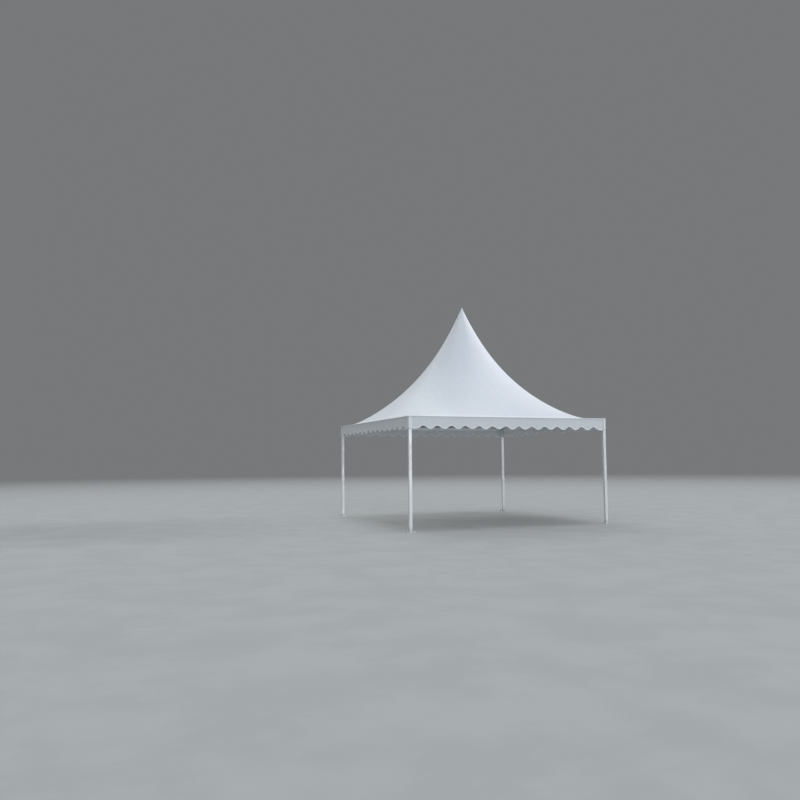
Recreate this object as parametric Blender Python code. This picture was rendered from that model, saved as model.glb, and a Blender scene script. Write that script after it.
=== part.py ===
"""Pagoda marquee: a square aluminium frame tent with a high peaked membrane roof.

Four legs stand on staked base plates and carry four eave beams through corner brackets.
Two crossed pairs of cables under the roof hold a floating mast, which pushes the membrane
up to its peak. Metres, +Z up. The origin is on the ground at the middle of the frame, and
the front faces -Y.
"""

import math

import bmesh
import bpy
from mathutils import Matrix, Vector

# Frame
FRAME_SIDE = 5.0  # outer face to outer face of the legs
EAVE_HEIGHT = 2.45  # ground to the top of the eave beams
LEG_SIDE = 0.063
LEG_WALL = 0.003
BEAM_HEIGHT = 0.08
BEAM_WIDTH = 0.063
BEAM_WALL = 0.003
EDGE_RADIUS = 0.004  # rounded corners of the leg and beam extrusions
KEDER_SLOT_WIDTH = 0.006  # mouth of the slot that takes the roof's beaded edge
KEDER_SLOT_DEPTH = 0.0018
KEDER_SLOT_DROP = 0.012  # top of the beam to the middle of the slot

# Base plates and stakes
PLATE_MARGIN = 0.052  # how far the plate reaches past the leg on each side
PLATE_THICKNESS = 0.008
FOOT_SPIGOT_LENGTH = 0.10
STAKE_DIAMETER = 0.025
STAKE_HEAD_DIAMETER = 0.042
STAKE_HEAD_HEIGHT = 0.014
STAKE_STUB = 0.030  # bare end of the stake above its collar

# Corner brackets
BRACKET_SHOULDER = 0.012  # how far the block reaches past the leg, towards the beams and the lug
BRACKET_SPIGOT_LENGTH = 0.12
LUG_THICKNESS = 0.008
LUG_HEIGHT = 0.040
LUG_REACH = 0.040  # bracket corner, or mast sleeve, to the pin
PIN_DIAMETER = 0.012
LUG_DROP = 0.028  # top of the beam to the pin
LUG_ROOT = 0.022  # how deep the lug's plate goes into the block
LUG_ARC_STEPS = 8

# Cables, forks and turnbuckles
CABLE_DIAMETER = 0.008
FORK_CHEEK = 0.004
FORK_HEIGHT = 0.026
FORK_LENGTH = 0.034  # pin to the back of the slot
FORK_BACK = 0.012
TERMINAL_DIAMETER = 0.016
TERMINAL_LENGTH = 0.080
TURNBUCKLE_DIAMETER = 0.026
TURNBUCKLE_LENGTH = 0.200
TURNBUCKLE_ROD = 0.050  # bare thread between the fork and the body

# Mast
MAST_DIAMETER = 0.060
MAST_WALL = 0.003
MAST_FOOT_HEIGHT = 2.335  # ground to the underside of the mast foot
MAST_FOOT_PLATE = 0.008
MAST_FOOT_RIM = 0.012  # how far the foot plate reaches past the sleeve
SLEEVE_WALL = 0.005
SLEEVE_HEIGHT = 0.070
MAST_HEAD_HEIGHT = 0.17
MAST_PLUG_LENGTH = 0.10

# Roof membrane
ROOF_THICKNESS = 0.003
ROOF_TOP_HEIGHT = 5.405  # ground to the membrane's top ring
ROOF_TOP_RADIUS = 0.016
SIDE_CURVE = 2.28  # how fast the sides sweep in above the eave
STRAIGHT_SHARE = 0.38  # how much of the sides' profile is a straight line to the top ring
HIP_CURVE = 0.21  # how fast the plan turns from a square at the eave to a circle at the top
ROOF_COLUMNS_A_SIDE = 12
ROOF_RINGS = 24
RING_CROWDING = 1.3  # above 1, the rings lie closer together near the eave
CIRCLE_POWER = 2  # power of the superellipse that is a circle
PEAK_BAND = 0.03  # share of the membrane's height over which its slope at the top is taken

# Valance and peak cap
VALANCE_THICKNESS = 0.003
VALANCE_DROP = 0.27
SCALLOPS_A_SIDE = 15
SCALLOP_DEPTH = 0.072
SCALLOP_NARROWING = 1.25  # above 1, the notches are narrower than the tongues
SCALLOP_STEPS = 8
CORNER_WRAP = 0.060  # doubled fabric that turns the corner, along each side
CORNER_WRAP_RADIUS = 0.008
CORNER_WRAP_STEPS = 4
CAP_THICKNESS = 0.003
CAP_SKIRT = 0.11  # how far the cap reaches down over the membrane
CAP_TIP_RADIUS = 0.008
CAP_TIP_START = math.radians(25)  # angle above level at which the tip's round part starts
CAP_TIP_STEPS = 3
CAP_RISE = 0.040  # top ring to the tip
PEAK_STEPS = 4  # rings of the mast head and of the cap that follow the membrane

# Fits
SEAT_GAP = 0.0003  # between faces that touch
SLIP_FIT = 0.0006  # around a spigot, a stake or a pin
ROOF_SEAT = 0.0006  # membrane above the beam
CAP_FIT = 0.0015  # cap around the membrane
HEAD_FIT = 0.0015  # membrane around the mast head

ROUND_SIDES = 16
CABLE_SIDES = 8

CORNERS = ("front_left", "front_right", "back_right", "back_left")
SIDES = ("front", "right", "back", "left")

half_side = FRAME_SIDE / 2
leg_centre = half_side - LEG_SIDE / 2
beam_underside = EAVE_HEIGHT - BEAM_HEIGHT
bracket_side = max(LEG_SIDE, BEAM_WIDTH) + BRACKET_SHOULDER
bracket_inside = bracket_side - half_side  # inner faces of the front left bracket
roof_edge_height = EAVE_HEIGHT + ROOF_SEAT + ROOF_THICKNESS


# Scene, materials and objects

def clear_scene():
    for old in list(bpy.data.objects):
        bpy.data.objects.remove(old)


def material(name, color, roughness, metallic):
    made = bpy.data.materials.new(name)
    made.use_nodes = True
    shader = made.node_tree.nodes["Principled BSDF"]
    shader.inputs["Base Color"].default_value = (*color, 1.0)
    shader.inputs["Roughness"].default_value = roughness
    shader.inputs["Metallic"].default_value = metallic
    made.diffuse_color = (*color, 1.0)
    return made


def place(name, mesh, finish, quarter_turns=0):
    """An object of this mesh, turned about the tent's middle by so many quarter turns."""
    made = bpy.data.objects.new(name, mesh)
    bpy.context.scene.collection.objects.link(made)
    made.rotation_euler.z = quarter_turns * math.pi / 2
    if not mesh.materials:
        mesh.materials.append(finish)
    return made


def place_around(prefix, names, mesh, finish):
    for turns, name in enumerate(names):
        place(f"{prefix}_{name}", mesh, finish, turns)


# Closed meshes

def finished(shape, smooth_angle=None):
    """The bmesh as a mesh whose faces point outwards."""
    bmesh.ops.recalc_face_normals(shape, faces=shape.faces)
    mesh = bpy.data.meshes.new("shape")
    shape.to_mesh(mesh)
    shape.free()
    if smooth_angle is not None:
        mesh.shade_smooth()
        mesh.set_sharp_from_angle(angle=smooth_angle)
    return mesh


def box(low, high):
    shape = bmesh.new()
    bmesh.ops.create_cube(shape, size=1.0)
    size = Vector(high) - Vector(low)
    middle = (Vector(high) + Vector(low)) / 2
    bmesh.ops.transform(shape, matrix=Matrix.LocRotScale(middle, None, size), verts=shape.verts)
    return finished(shape)


def rod(start, end, diameter, sides=ROUND_SIDES):
    """A closed cylinder from one point to another."""
    start, end = Vector(start), Vector(end)
    along = end - start
    turn = along.to_track_quat("Z", "Y")
    shape = bmesh.new()
    bmesh.ops.create_cone(
        shape, cap_ends=True, segments=sides, radius1=diameter / 2, radius2=diameter / 2,
        depth=along.length, matrix=Matrix.LocRotScale((start + end) / 2, turn, None),
    )
    return finished(shape, math.radians(40))


def prism(outlines, along):
    """Closed outlines in one plane, the first outside and any others holes, pushed along."""
    shape = bmesh.new()
    edges = []
    for outline in outlines:
        points = [shape.verts.new(point) for point in outline]
        edges += [shape.edges.new(pair) for pair in zip(points, points[1:] + points[:1])]
    bmesh.ops.triangle_fill(shape, edges=edges, use_beauty=True)
    pushed = bmesh.ops.extrude_face_region(shape, geom=shape.faces[:])
    moved = [item for item in pushed["geom"] if isinstance(item, bmesh.types.BMVert)]
    bmesh.ops.translate(shape, vec=Vector(along), verts=moved)
    return finished(shape, math.radians(40))


def turned(profile, sides=ROUND_SIDES):
    """A closed outline of (radius, height) points, spun about the Z axis."""
    shape = bmesh.new()
    points = [shape.verts.new((radius, 0, height)) for radius, height in profile]
    edges = [shape.edges.new(pair) for pair in zip(points, points[1:] + points[:1])]
    bmesh.ops.spin(
        shape, geom=points + edges, axis=(0, 0, 1), cent=(0, 0, 0),
        angle=2 * math.pi, steps=sides, use_merge=True,
    )
    bmesh.ops.remove_doubles(shape, verts=shape.verts, dist=1e-6)
    bmesh.ops.dissolve_degenerate(shape, dist=1e-7, edges=shape.edges)
    on_axis = [edge for edge in shape.edges if all(v.co.xy.length < 1e-6 for v in edge.verts)]
    bmesh.ops.delete(shape, geom=on_axis, context="EDGES")
    return finished(shape, math.radians(40))


def joined(shapes, cuts=()):
    """One mesh from closed meshes that overlap: the shapes united, then the cuts taken out."""
    base = place("base", shapes[0], None)
    helpers = [base]
    for operation, meshes in (("UNION", shapes[1:]), ("DIFFERENCE", cuts)):
        for mesh in meshes:
            helpers.append(place("helper", mesh, None))
            step = base.modifiers.new(operation.title(), "BOOLEAN")
            step.solver = "EXACT"
            step.operation = operation
            step.object = helpers[-1]
    graph = bpy.context.evaluated_depsgraph_get()
    result = bpy.data.meshes.new_from_object(base.evaluated_get(graph))
    result.materials.clear()
    for helper in helpers:
        bpy.data.objects.remove(helper)
    return result


def rectangle(width, height):
    x, y = width / 2, height / 2
    return [(x, y), (-x, y), (-x, -y), (x, -y)]


def rounded_rectangle(width, height, radius, steps=2):
    """Points of a rectangle about the origin, with round corners."""
    points = []
    for corner, (side_x, side_y) in enumerate(((1, 1), (-1, 1), (-1, -1), (1, -1))):
        middle_x = side_x * (width / 2 - radius)
        middle_y = side_y * (height / 2 - radius)
        for step in range(steps + 1):
            angle = (corner + step / steps) * math.pi / 2
            points.append((middle_x + radius * math.cos(angle), middle_y + radius * math.sin(angle)))
    return points


# Shape of the membrane

def roof_half_width(rise):
    """Half width at the middle of a side, where rise is 0 at the eave and 1 at the top ring."""
    swept = (math.exp(-SIDE_CURVE * rise) - math.exp(-SIDE_CURVE)) / (1 - math.exp(-SIDE_CURVE))
    fall = STRAIGHT_SHARE * (1 - rise) + (1 - STRAIGHT_SHARE) * swept
    return ROOF_TOP_RADIUS + (half_side - ROOF_TOP_RADIUS) * fall


def roof_height(rise):
    return roof_edge_height + (ROOF_TOP_HEIGHT - roof_edge_height) * rise


def roof_rise(height):
    return (height - roof_edge_height) / (ROOF_TOP_HEIGHT - roof_edge_height)


def roof_point(across, along, rise):
    """The membrane's outer face over the eave point (across, along) of the unit square.

    The plan is a superellipse, which is the square itself at the eave and a circle at the
    top, so each hip starts out flat at its corner and rounds off on its way up.
    """
    reach = math.hypot(across, along)
    across, along = across / reach, along / reach
    power = CIRCLE_POWER / max(rise, 1e-9) ** HIP_CURVE
    largest = max(abs(across), abs(along))
    spread = (abs(across / largest) ** power + abs(along / largest) ** power) ** (1 / power)
    radius = roof_half_width(rise) / (largest * spread)
    return across * radius, along * radius, roof_height(rise)


def eave_square():
    """Points round the unit square, counterclockwise from its front left corner."""
    points = []
    for step in range(ROOF_COLUMNS_A_SIDE):
        points.append((-1 + 2 * step / ROOF_COLUMNS_A_SIDE, -1))
    for _ in range(3):
        points += [(-y, x) for x, y in points[-ROOF_COLUMNS_A_SIDE:]]
    return points


# Pieces

def base_plate():
    """Steel plate with a stub that stands in the leg, and two holes for stakes."""
    half_plate = LEG_SIDE / 2 + PLATE_MARGIN
    half_stub = LEG_SIDE / 2 - LEG_WALL - SLIP_FIT
    low, high = -leg_centre - half_plate, -leg_centre + half_plate
    plate = box((low, low, 0), (high, high, PLATE_THICKNESS))
    stub_low, stub_high = -leg_centre - half_stub, -leg_centre + half_stub
    stub_bottom = PLATE_THICKNESS / 2
    stub_top = PLATE_THICKNESS + FOOT_SPIGOT_LENGTH
    stub = box((stub_low, stub_low, stub_bottom), (stub_high, stub_high, stub_top))
    holes = [
        rod((x, y, -PLATE_THICKNESS), (x, y, 2 * PLATE_THICKNESS), STAKE_DIAMETER + 2 * SLIP_FIT)
        for x, y in stake_places()
    ]
    return joined([plate, stub], holes)


def stake_places():
    """The two stakes of the front left plate, at its front right and back left corners."""
    out = LEG_SIDE / 2 + PLATE_MARGIN / 2
    return ((-leg_centre + out, -leg_centre - out), (-leg_centre - out, -leg_centre + out))


def stake(x, y):
    """What shows of a ground stake: the pin through the plate, its collar and its end."""
    collar_low = PLATE_THICKNESS + SEAT_GAP
    collar_high = collar_low + STAKE_HEAD_HEIGHT
    pin = rod((x, y, SEAT_GAP), (x, y, collar_high + STAKE_STUB), STAKE_DIAMETER)
    collar = rod((x, y, collar_low), (x, y, collar_high), STAKE_HEAD_DIAMETER)
    return joined([collar, pin])


def leg():
    """Square aluminium tube, open at both ends."""
    low = PLATE_THICKNESS + SEAT_GAP
    high = beam_underside - SEAT_GAP
    inner_side = LEG_SIDE - 2 * LEG_WALL
    outlines = [
        [(x - leg_centre, y - leg_centre, low) for x, y in outline]
        for outline in (
            rounded_rectangle(LEG_SIDE, LEG_SIDE, EDGE_RADIUS),
            rectangle(inner_side, inner_side),
        )
    ]
    return prism(outlines, (0, 0, high - low))


def eave_beam():
    """Aluminium box beam between two brackets, with a keder slot along its outer face."""
    length = FRAME_SIDE - 2 * bracket_side - 2 * SEAT_GAP
    middle_y = BEAM_WIDTH / 2 - half_side
    middle_z = EAVE_HEIGHT - BEAM_HEIGHT / 2
    outer = rounded_rectangle(BEAM_WIDTH, BEAM_HEIGHT, EDGE_RADIUS)
    inner = rectangle(BEAM_WIDTH - 2 * BEAM_WALL, BEAM_HEIGHT - 2 * BEAM_WALL)
    outlines = [
        [(-length / 2, middle_y + y, middle_z + z) for y, z in outline] for outline in (outer, inner)
    ]
    slot_z = EAVE_HEIGHT - KEDER_SLOT_DROP
    slot = box(
        (-length, -half_side - BEAM_WIDTH, slot_z - KEDER_SLOT_WIDTH / 2),
        (length, -half_side + KEDER_SLOT_DEPTH, slot_z + KEDER_SLOT_WIDTH / 2),
    )
    return joined([prism(outlines, (length, 0, 0))], [slot])


def lug(start, reach, height):
    """Upright plate along the diagonal, from its root at start out to a pin hole."""
    along = Vector((1, 1, 0)).normalized()
    across = Vector((1, -1, 0)).normalized() * (LUG_THICKNESS / 2)
    up = Vector((0, 0, 1))
    pin = Vector((start[0], start[1], height)) + along * reach
    root = Vector((start[0], start[1], height))
    outline = [root - up * LUG_HEIGHT / 2 - across, root + up * LUG_HEIGHT / 2 - across]
    for step in range(LUG_ARC_STEPS + 1):
        angle = math.pi / 2 - math.pi * step / LUG_ARC_STEPS
        bend = along * math.cos(angle) + up * math.sin(angle)
        outline.append(pin + bend * LUG_HEIGHT / 2 - across)
    hole = rod(pin - 3 * across, pin + 3 * across, PIN_DIAMETER + 2 * SLIP_FIT)
    return prism([outline], 2 * across), hole


def corner_bracket():
    """Steel block over the leg, with a spigot into the leg and one into each beam."""
    block = box((-half_side, -half_side, beam_underside), (bracket_inside, bracket_inside, EAVE_HEIGHT))
    half_stub = LEG_SIDE / 2 - LEG_WALL - SLIP_FIT
    middle_z = EAVE_HEIGHT - BEAM_HEIGHT / 2
    down = box(
        (-leg_centre - half_stub, -leg_centre - half_stub, beam_underside - BRACKET_SPIGOT_LENGTH),
        (-leg_centre + half_stub, -leg_centre + half_stub, middle_z),
    )
    half_width = BEAM_WIDTH / 2 - BEAM_WALL - SLIP_FIT
    half_height = BEAM_HEIGHT / 2 - BEAM_WALL - SLIP_FIT
    beam_centre = half_side - BEAM_WIDTH / 2
    tip = bracket_inside + BRACKET_SPIGOT_LENGTH
    right = box(
        (-leg_centre, -beam_centre - half_width, middle_z - half_height),
        (tip, -beam_centre + half_width, middle_z + half_height),
    )
    back = box(
        (-beam_centre - half_width, -leg_centre, middle_z - half_height),
        (-beam_centre + half_width, tip, middle_z + half_height),
    )
    sunk = bracket_inside - LUG_ROOT / math.sqrt(2)
    plate, hole = lug((sunk, sunk), LUG_ROOT + LUG_REACH, EAVE_HEIGHT - LUG_DROP)
    return joined([block, down, right, back, plate], [hole])


def mast_foot():
    """Steel plate with a sleeve round the mast and four lugs on the diagonals."""
    bore = MAST_DIAMETER / 2 + SLIP_FIT
    sleeve = bore + SLEEVE_WALL
    floor = MAST_FOOT_HEIGHT + MAST_FOOT_PLATE
    body = turned([
        (0, MAST_FOOT_HEIGHT), (sleeve + MAST_FOOT_RIM, MAST_FOOT_HEIGHT),
        (sleeve + MAST_FOOT_RIM, floor), (sleeve, floor), (sleeve, floor + SLEEVE_HEIGHT),
        (bore, floor + SLEEVE_HEIGHT), (bore, floor), (0, floor),
    ])
    plates, holes = [], []
    for quarter in range(4):
        turn = Matrix.Rotation(quarter * math.pi / 2, 4, "Z")
        root = bore + SLEEVE_WALL / 2
        plate, hole = lug((root / math.sqrt(2), root / math.sqrt(2)), LUG_REACH, mast_pin_height())
        for mesh in (plate, hole):
            mesh.transform(turn)
        plates.append(plate)
        holes.append(hole)
    return joined([body] + plates, holes)


def mast_pin_height():
    return MAST_FOOT_HEIGHT + MAST_FOOT_PLATE + LUG_HEIGHT / 2


def mast():
    """Round aluminium tube from the foot plate to the mast head."""
    low = MAST_FOOT_HEIGHT + MAST_FOOT_PLATE + SEAT_GAP
    high = ROOF_TOP_HEIGHT - MAST_HEAD_HEIGHT - SEAT_GAP
    outer, inner = MAST_DIAMETER / 2, MAST_DIAMETER / 2 - MAST_WALL
    return turned([(inner, low), (outer, low), (outer, high), (inner, high)])


def mast_head():
    """Turned cone under the membrane, with a plug in the mast."""
    low = ROOF_TOP_HEIGHT - MAST_HEAD_HEIGHT
    plug = MAST_DIAMETER / 2 - MAST_WALL - SLIP_FIT
    profile = [(0, low - MAST_PLUG_LENGTH), (plug, low - MAST_PLUG_LENGTH), (plug, low)]
    for step in range(PEAK_STEPS + 1):
        height = low + (MAST_HEAD_HEIGHT - ROOF_THICKNESS) * step / PEAK_STEPS
        profile.append((roof_half_width(roof_rise(height)) - skin_width() - HEAD_FIT, height))
    profile.append((0, profile[-1][1]))
    return turned(profile, 2 * ROUND_SIDES)


def skin_width():
    """How far the membrane's inner face lies inside its outer face, level, near the peak."""
    width_change = roof_half_width(1 - PEAK_BAND) - roof_half_width(1)
    height_change = roof_height(1) - roof_height(1 - PEAK_BAND)
    return ROOF_THICKNESS * math.hypot(width_change, height_change) / height_change


def roof_membrane():
    """The skin from the eave to its top ring, thickened inwards."""
    shape = bmesh.new()
    rings = []
    for ring in range(ROOF_RINGS + 1):
        rise = (ring / ROOF_RINGS) ** RING_CROWDING
        rings.append([shape.verts.new(roof_point(x, y, rise)) for x, y in eave_square()])
    for lower, upper in zip(rings, rings[1:]):
        for here in range(len(lower)):
            following = (here + 1) % len(lower)
            shape.faces.new((lower[here], lower[following], upper[following], upper[here]))
    mesh = bpy.data.meshes.new("roof")
    shape.to_mesh(mesh)
    shape.free()
    mesh.shade_smooth()
    return mesh


def valance():
    """Flat strip in front of the front beam, with tongues along its lower edge."""
    half = half_side - CORNER_WRAP - SEAT_GAP
    low = roof_edge_height - VALANCE_DROP
    pitch = FRAME_SIDE / SCALLOPS_A_SIDE
    steps = SCALLOPS_A_SIDE * SCALLOP_STEPS
    lower = [(-half, low)]
    for step in range(SCALLOP_STEPS // 2, steps - SCALLOP_STEPS // 2 + 1):
        across = -half_side + step * pitch / SCALLOP_STEPS
        notch = math.cos(math.pi * step / SCALLOP_STEPS) ** 2
        lower.append((across, low + SCALLOP_DEPTH * notch ** SCALLOP_NARROWING))
    lower.append((half, low))
    face = -half_side - SEAT_GAP
    outline = [(x, face, z) for x, z in lower + [(half, roof_edge_height), (-half, roof_edge_height)]]
    return prism([outline], (0, -VALANCE_THICKNESS, 0))


def valance_corner():
    """Doubled fabric that turns the front left corner, over the leg and the bracket."""
    inner = half_side + SEAT_GAP
    outer = inner + VALANCE_THICKNESS
    end = half_side - CORNER_WRAP
    centre = outer - CORNER_WRAP_RADIUS
    bend = []
    for step in range(CORNER_WRAP_STEPS + 1):
        angle = math.pi + step / CORNER_WRAP_STEPS * math.pi / 2
        bend.append((
            -centre + CORNER_WRAP_RADIUS * math.cos(angle),
            -centre + CORNER_WRAP_RADIUS * math.sin(angle),
        ))
    outline = [(-outer, -end)] + bend + [(-end, -outer), (-end, -inner), (-inner, -inner), (-inner, -end)]
    low = roof_edge_height - VALANCE_DROP
    return prism([[(x, y, low) for x, y in outline]], (0, 0, VALANCE_DROP))


def peak_cap():
    """Hood over the membrane's top ring, closed by a round tip."""
    low = ROOF_TOP_HEIGHT - CAP_SKIRT
    inner = []
    for step in range(PEAK_STEPS + 1):
        height = low + CAP_SKIRT * step / PEAK_STEPS
        inner.append((roof_half_width(roof_rise(height)) + CAP_FIT, height))
    outer = [(radius + CAP_THICKNESS, height) for radius, height in inner]
    tip_centre = ROOF_TOP_HEIGHT + CAP_RISE - CAP_TIP_RADIUS
    tip = []
    for step in range(CAP_TIP_STEPS + 1):
        angle = CAP_TIP_START + step / CAP_TIP_STEPS * (math.pi / 2 - CAP_TIP_START)
        tip.append((CAP_TIP_RADIUS * math.cos(angle), tip_centre + CAP_TIP_RADIUS * math.sin(angle)))
    tip[-1] = (0, tip[-1][1])
    profile = inner[:1] + outer + tip + [(0, ROOF_TOP_HEIGHT + SEAT_GAP)]
    profile += [(inner[-1][0], ROOF_TOP_HEIGHT + SEAT_GAP)] + inner[:0:-1]
    return turned(profile, 2 * ROUND_SIDES)


def cable_line():
    """The pins that the front left cable runs between: at its bracket and at the mast foot."""
    corner = bracket_inside + LUG_REACH / math.sqrt(2)
    middle = (MAST_DIAMETER / 2 + SLIP_FIT + SLEEVE_WALL / 2 + LUG_REACH) / math.sqrt(2)
    return (
        Vector((corner, corner, EAVE_HEIGHT - LUG_DROP)),
        Vector((-middle, -middle, mast_pin_height())),
    )


def fork(pin, toward):
    """A fork round a lug with its pin, its back facing toward the other end of the cable."""
    along = (toward - pin).normalized()
    across = Vector((-along.y, along.x, 0)).normalized()
    up = along.cross(across)
    frame = Matrix((along, across, up)).transposed().to_4x4()
    frame.translation = pin
    gap = LUG_THICKNESS / 2 + SEAT_GAP
    width = gap + FORK_CHEEK
    nose = FORK_HEIGHT / 2
    back = FORK_LENGTH + FORK_BACK
    outline = [
        (-nose, gap), (-nose, width), (back, width), (back, -width), (-nose, -width), (-nose, -gap),
        (FORK_LENGTH, -gap), (FORK_LENGTH, gap),
    ]
    pieces = [
        prism([[(x, y, -nose) for x, y in outline]], (0, 0, FORK_HEIGHT)),
        rod((0, -width - FORK_CHEEK, 0), (0, width + FORK_CHEEK, 0), PIN_DIAMETER),
    ]
    for mesh in pieces:
        mesh.transform(frame)
    return pieces, pin + along * back, along


def turnbuckle():
    """Fork on the bracket's lug, its thread, and the tensioning body behind it."""
    start, end = cable_line()
    pieces, back, along = fork(start, end)
    body_start = back + along * TURNBUCKLE_ROD
    body_end = body_start + along * TURNBUCKLE_LENGTH
    pieces.append(rod(back - along * FORK_BACK / 2, body_start + along * FORK_BACK, TERMINAL_DIAMETER))
    pieces.append(rod(body_start, body_end, TURNBUCKLE_DIAMETER))
    return joined(pieces), body_end


def cable(start):
    """Taut wire rope from the turnbuckle to the fork on the mast foot."""
    _, end = cable_line()
    pieces, back, along = fork(end, start)
    terminal = back + along * TERMINAL_LENGTH
    pieces.append(rod(back - along * FORK_BACK / 2, terminal, TERMINAL_DIAMETER))
    tip = start - along * SEAT_GAP
    pieces.append(rod(terminal - along * FORK_BACK / 2, tip, CABLE_DIAMETER, CABLE_SIDES))
    return joined(pieces)


# The tent

def build():
    clear_scene()
    aluminium = material("mill_aluminium", (0.74, 0.75, 0.76), 0.38, 1.0)
    steel = material("galvanised_steel", (0.56, 0.58, 0.59), 0.48, 1.0)
    wire = material("wire_rope", (0.50, 0.51, 0.52), 0.42, 1.0)
    membrane = material("white_membrane", (0.80, 0.81, 0.85), 0.55, 0.0)

    place_around("base_plate", CORNERS, base_plate(), steel)
    for side, (x, y) in zip(("a", "b"), stake_places()):
        place_around(f"stake_{side}", CORNERS, stake(x, y), steel)
    place_around("leg", CORNERS, leg(), aluminium)
    place_around("corner_bracket", CORNERS, corner_bracket(), steel)
    place_around("eave_beam", SIDES, eave_beam(), aluminium)

    tensioner, cable_start = turnbuckle()
    place_around("turnbuckle", CORNERS, tensioner, steel)
    place_around("cable", CORNERS, cable(cable_start), wire)
    place("mast_foot", mast_foot(), steel)
    place("mast", mast(), aluminium)
    place("mast_head", mast_head(), aluminium)

    roof = place("roof_membrane", roof_membrane(), membrane)
    skin = roof.modifiers.new("Thickness", "SOLIDIFY")
    skin.thickness = ROOF_THICKNESS
    skin.offset = -1
    skin.use_even_offset = True
    place_around("valance", SIDES, valance(), membrane)
    place_around("valance_corner", CORNERS, valance_corner(), membrane)
    place("peak_cap", peak_cap(), membrane)


build()
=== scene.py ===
"""Looks of a pagoda marquee, section by section in the order a crew puts it up.

A corner piece is made for the front left corner, and a side piece for the front, then turned
about the tent's middle.
"""

import math
from functools import partial

import bmesh
import bpy
from mathutils import Matrix, Vector, noise


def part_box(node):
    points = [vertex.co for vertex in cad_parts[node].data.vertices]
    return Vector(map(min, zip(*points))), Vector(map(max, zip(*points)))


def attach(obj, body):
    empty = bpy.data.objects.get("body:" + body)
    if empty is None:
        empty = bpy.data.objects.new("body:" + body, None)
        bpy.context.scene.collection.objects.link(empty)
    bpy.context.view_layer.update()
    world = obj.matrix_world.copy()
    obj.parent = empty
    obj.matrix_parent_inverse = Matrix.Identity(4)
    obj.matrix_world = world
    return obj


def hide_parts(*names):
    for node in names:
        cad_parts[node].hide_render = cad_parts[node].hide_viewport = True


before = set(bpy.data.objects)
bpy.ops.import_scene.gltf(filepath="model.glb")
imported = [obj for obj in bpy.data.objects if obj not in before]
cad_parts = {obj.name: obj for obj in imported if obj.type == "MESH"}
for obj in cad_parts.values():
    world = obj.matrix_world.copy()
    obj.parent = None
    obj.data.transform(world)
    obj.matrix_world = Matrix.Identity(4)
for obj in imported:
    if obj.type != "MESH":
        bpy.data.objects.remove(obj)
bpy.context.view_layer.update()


# Base plates
# Laser-cut steel plates with a cross of two flats welded upright on each, galvanised in a hot
# bath afterwards. The cross stands inside the leg, and two holes near opposite corners take the
# ground stakes.

CORNERS = ("front_left", "front_right", "back_right", "back_left")
SEAT_GAP = 0.0003
PLATE_CORNER_RADIUS = 0.010
PLATE_CHAMFER = 0.0007
CROSS_FLAT = 0.008
CROSS_PLAY = 0.0006
LEG_WALL = 0.003
STAKE_RADIUS = 0.0125
STAKE_HOLE_PLAY = 0.0010
ZINC = (0.50, 0.52, 0.53, 1.0)
ZINC_BRIGHT = (0.66, 0.68, 0.69, 1.0)
ZINC_STAIN = (0.74, 0.74, 0.71, 1.0)
ZINC_METAL = 0.95
RUST = (0.150, 0.078, 0.045, 1.0)
SPANGLES_A_METRE = 140.0
GRAINS_A_METRE = 900.0

plate_low, plate_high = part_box("base_plate_front_left")
leg_low, leg_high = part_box("leg_front_left")
leg_middle = (leg_low + leg_high) / 2
half_leg = (leg_high.x - leg_low.x) / 2
plate_top = leg_low.z - SEAT_GAP


def feed(node, inputs):
    """Fills a node's inputs, each from a value or from a socket that is linked."""
    for name, value in inputs.items():
        if isinstance(value, bpy.types.NodeSocket):
            node.id_data.links.new(value, node.inputs[name])
        else:
            node.inputs[name].default_value = value
    return node


def add_node(tree, kind, inputs=(), **settings):
    made = tree.nodes.new(kind)
    for name, value in settings.items():
        setattr(made, name, value)
    return feed(made, dict(inputs))


def wire(tree, kind, inputs=(), **settings):
    """The first output of a new node."""
    return add_node(tree, kind, inputs, **settings).outputs[0]


def figure(operation, *values):
    """A Math node in the tree of the first socket among its values."""
    tree = next(value.id_data for value in values if isinstance(value, bpy.types.NodeSocket))
    return wire(tree, "ShaderNodeMath", enumerate(values), operation=operation)


plus, minus, times = (partial(figure, name) for name in ("ADD", "SUBTRACT", "MULTIPLY"))


def mixed(share, first, second):
    """Colour that goes from the first to the second."""
    inputs = {0: share, 6: first, 7: second}
    return add_node(share.id_data, "ShaderNodeMix", inputs, data_type="RGBA").outputs[2]


def remapped(value, *ranges, kind="LINEAR"):
    """The value taken from one range (low, high) to another."""
    return wire(value.id_data, "ShaderNodeMapRange", enumerate((value, *ranges)), interpolation_type=kind)


eased = partial(remapped, kind="SMOOTHSTEP")


def part_of(vector, axis):
    return add_node(vector.id_data, "ShaderNodeSeparateXYZ", {0: vector}).outputs[axis]


def clouds(place, scale, detail):
    return wire(place.id_data, "ShaderNodeTexNoise", {"Vector": place, "Scale": scale, "Detail": detail})


def bumped(height, strength, depth):
    inputs = {"Height": height, "Strength": strength, "Distance": depth}
    return wire(height.id_data, "ShaderNodeBump", inputs)


def new_tree(kind, name, inputs, output):
    """An empty node group, the sockets it is given, and its output node."""
    tree = bpy.data.node_groups.new(name, kind)
    for in_out, sockets in (("INPUT", inputs), ("OUTPUT", output)):
        for label, value in sockets.items():
            tree.interface.new_socket(label, in_out=in_out, socket_type="NodeSocket" + value)
    return tree, tree.nodes.new("NodeGroupInput").outputs, tree.nodes.new("NodeGroupOutput")


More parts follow.
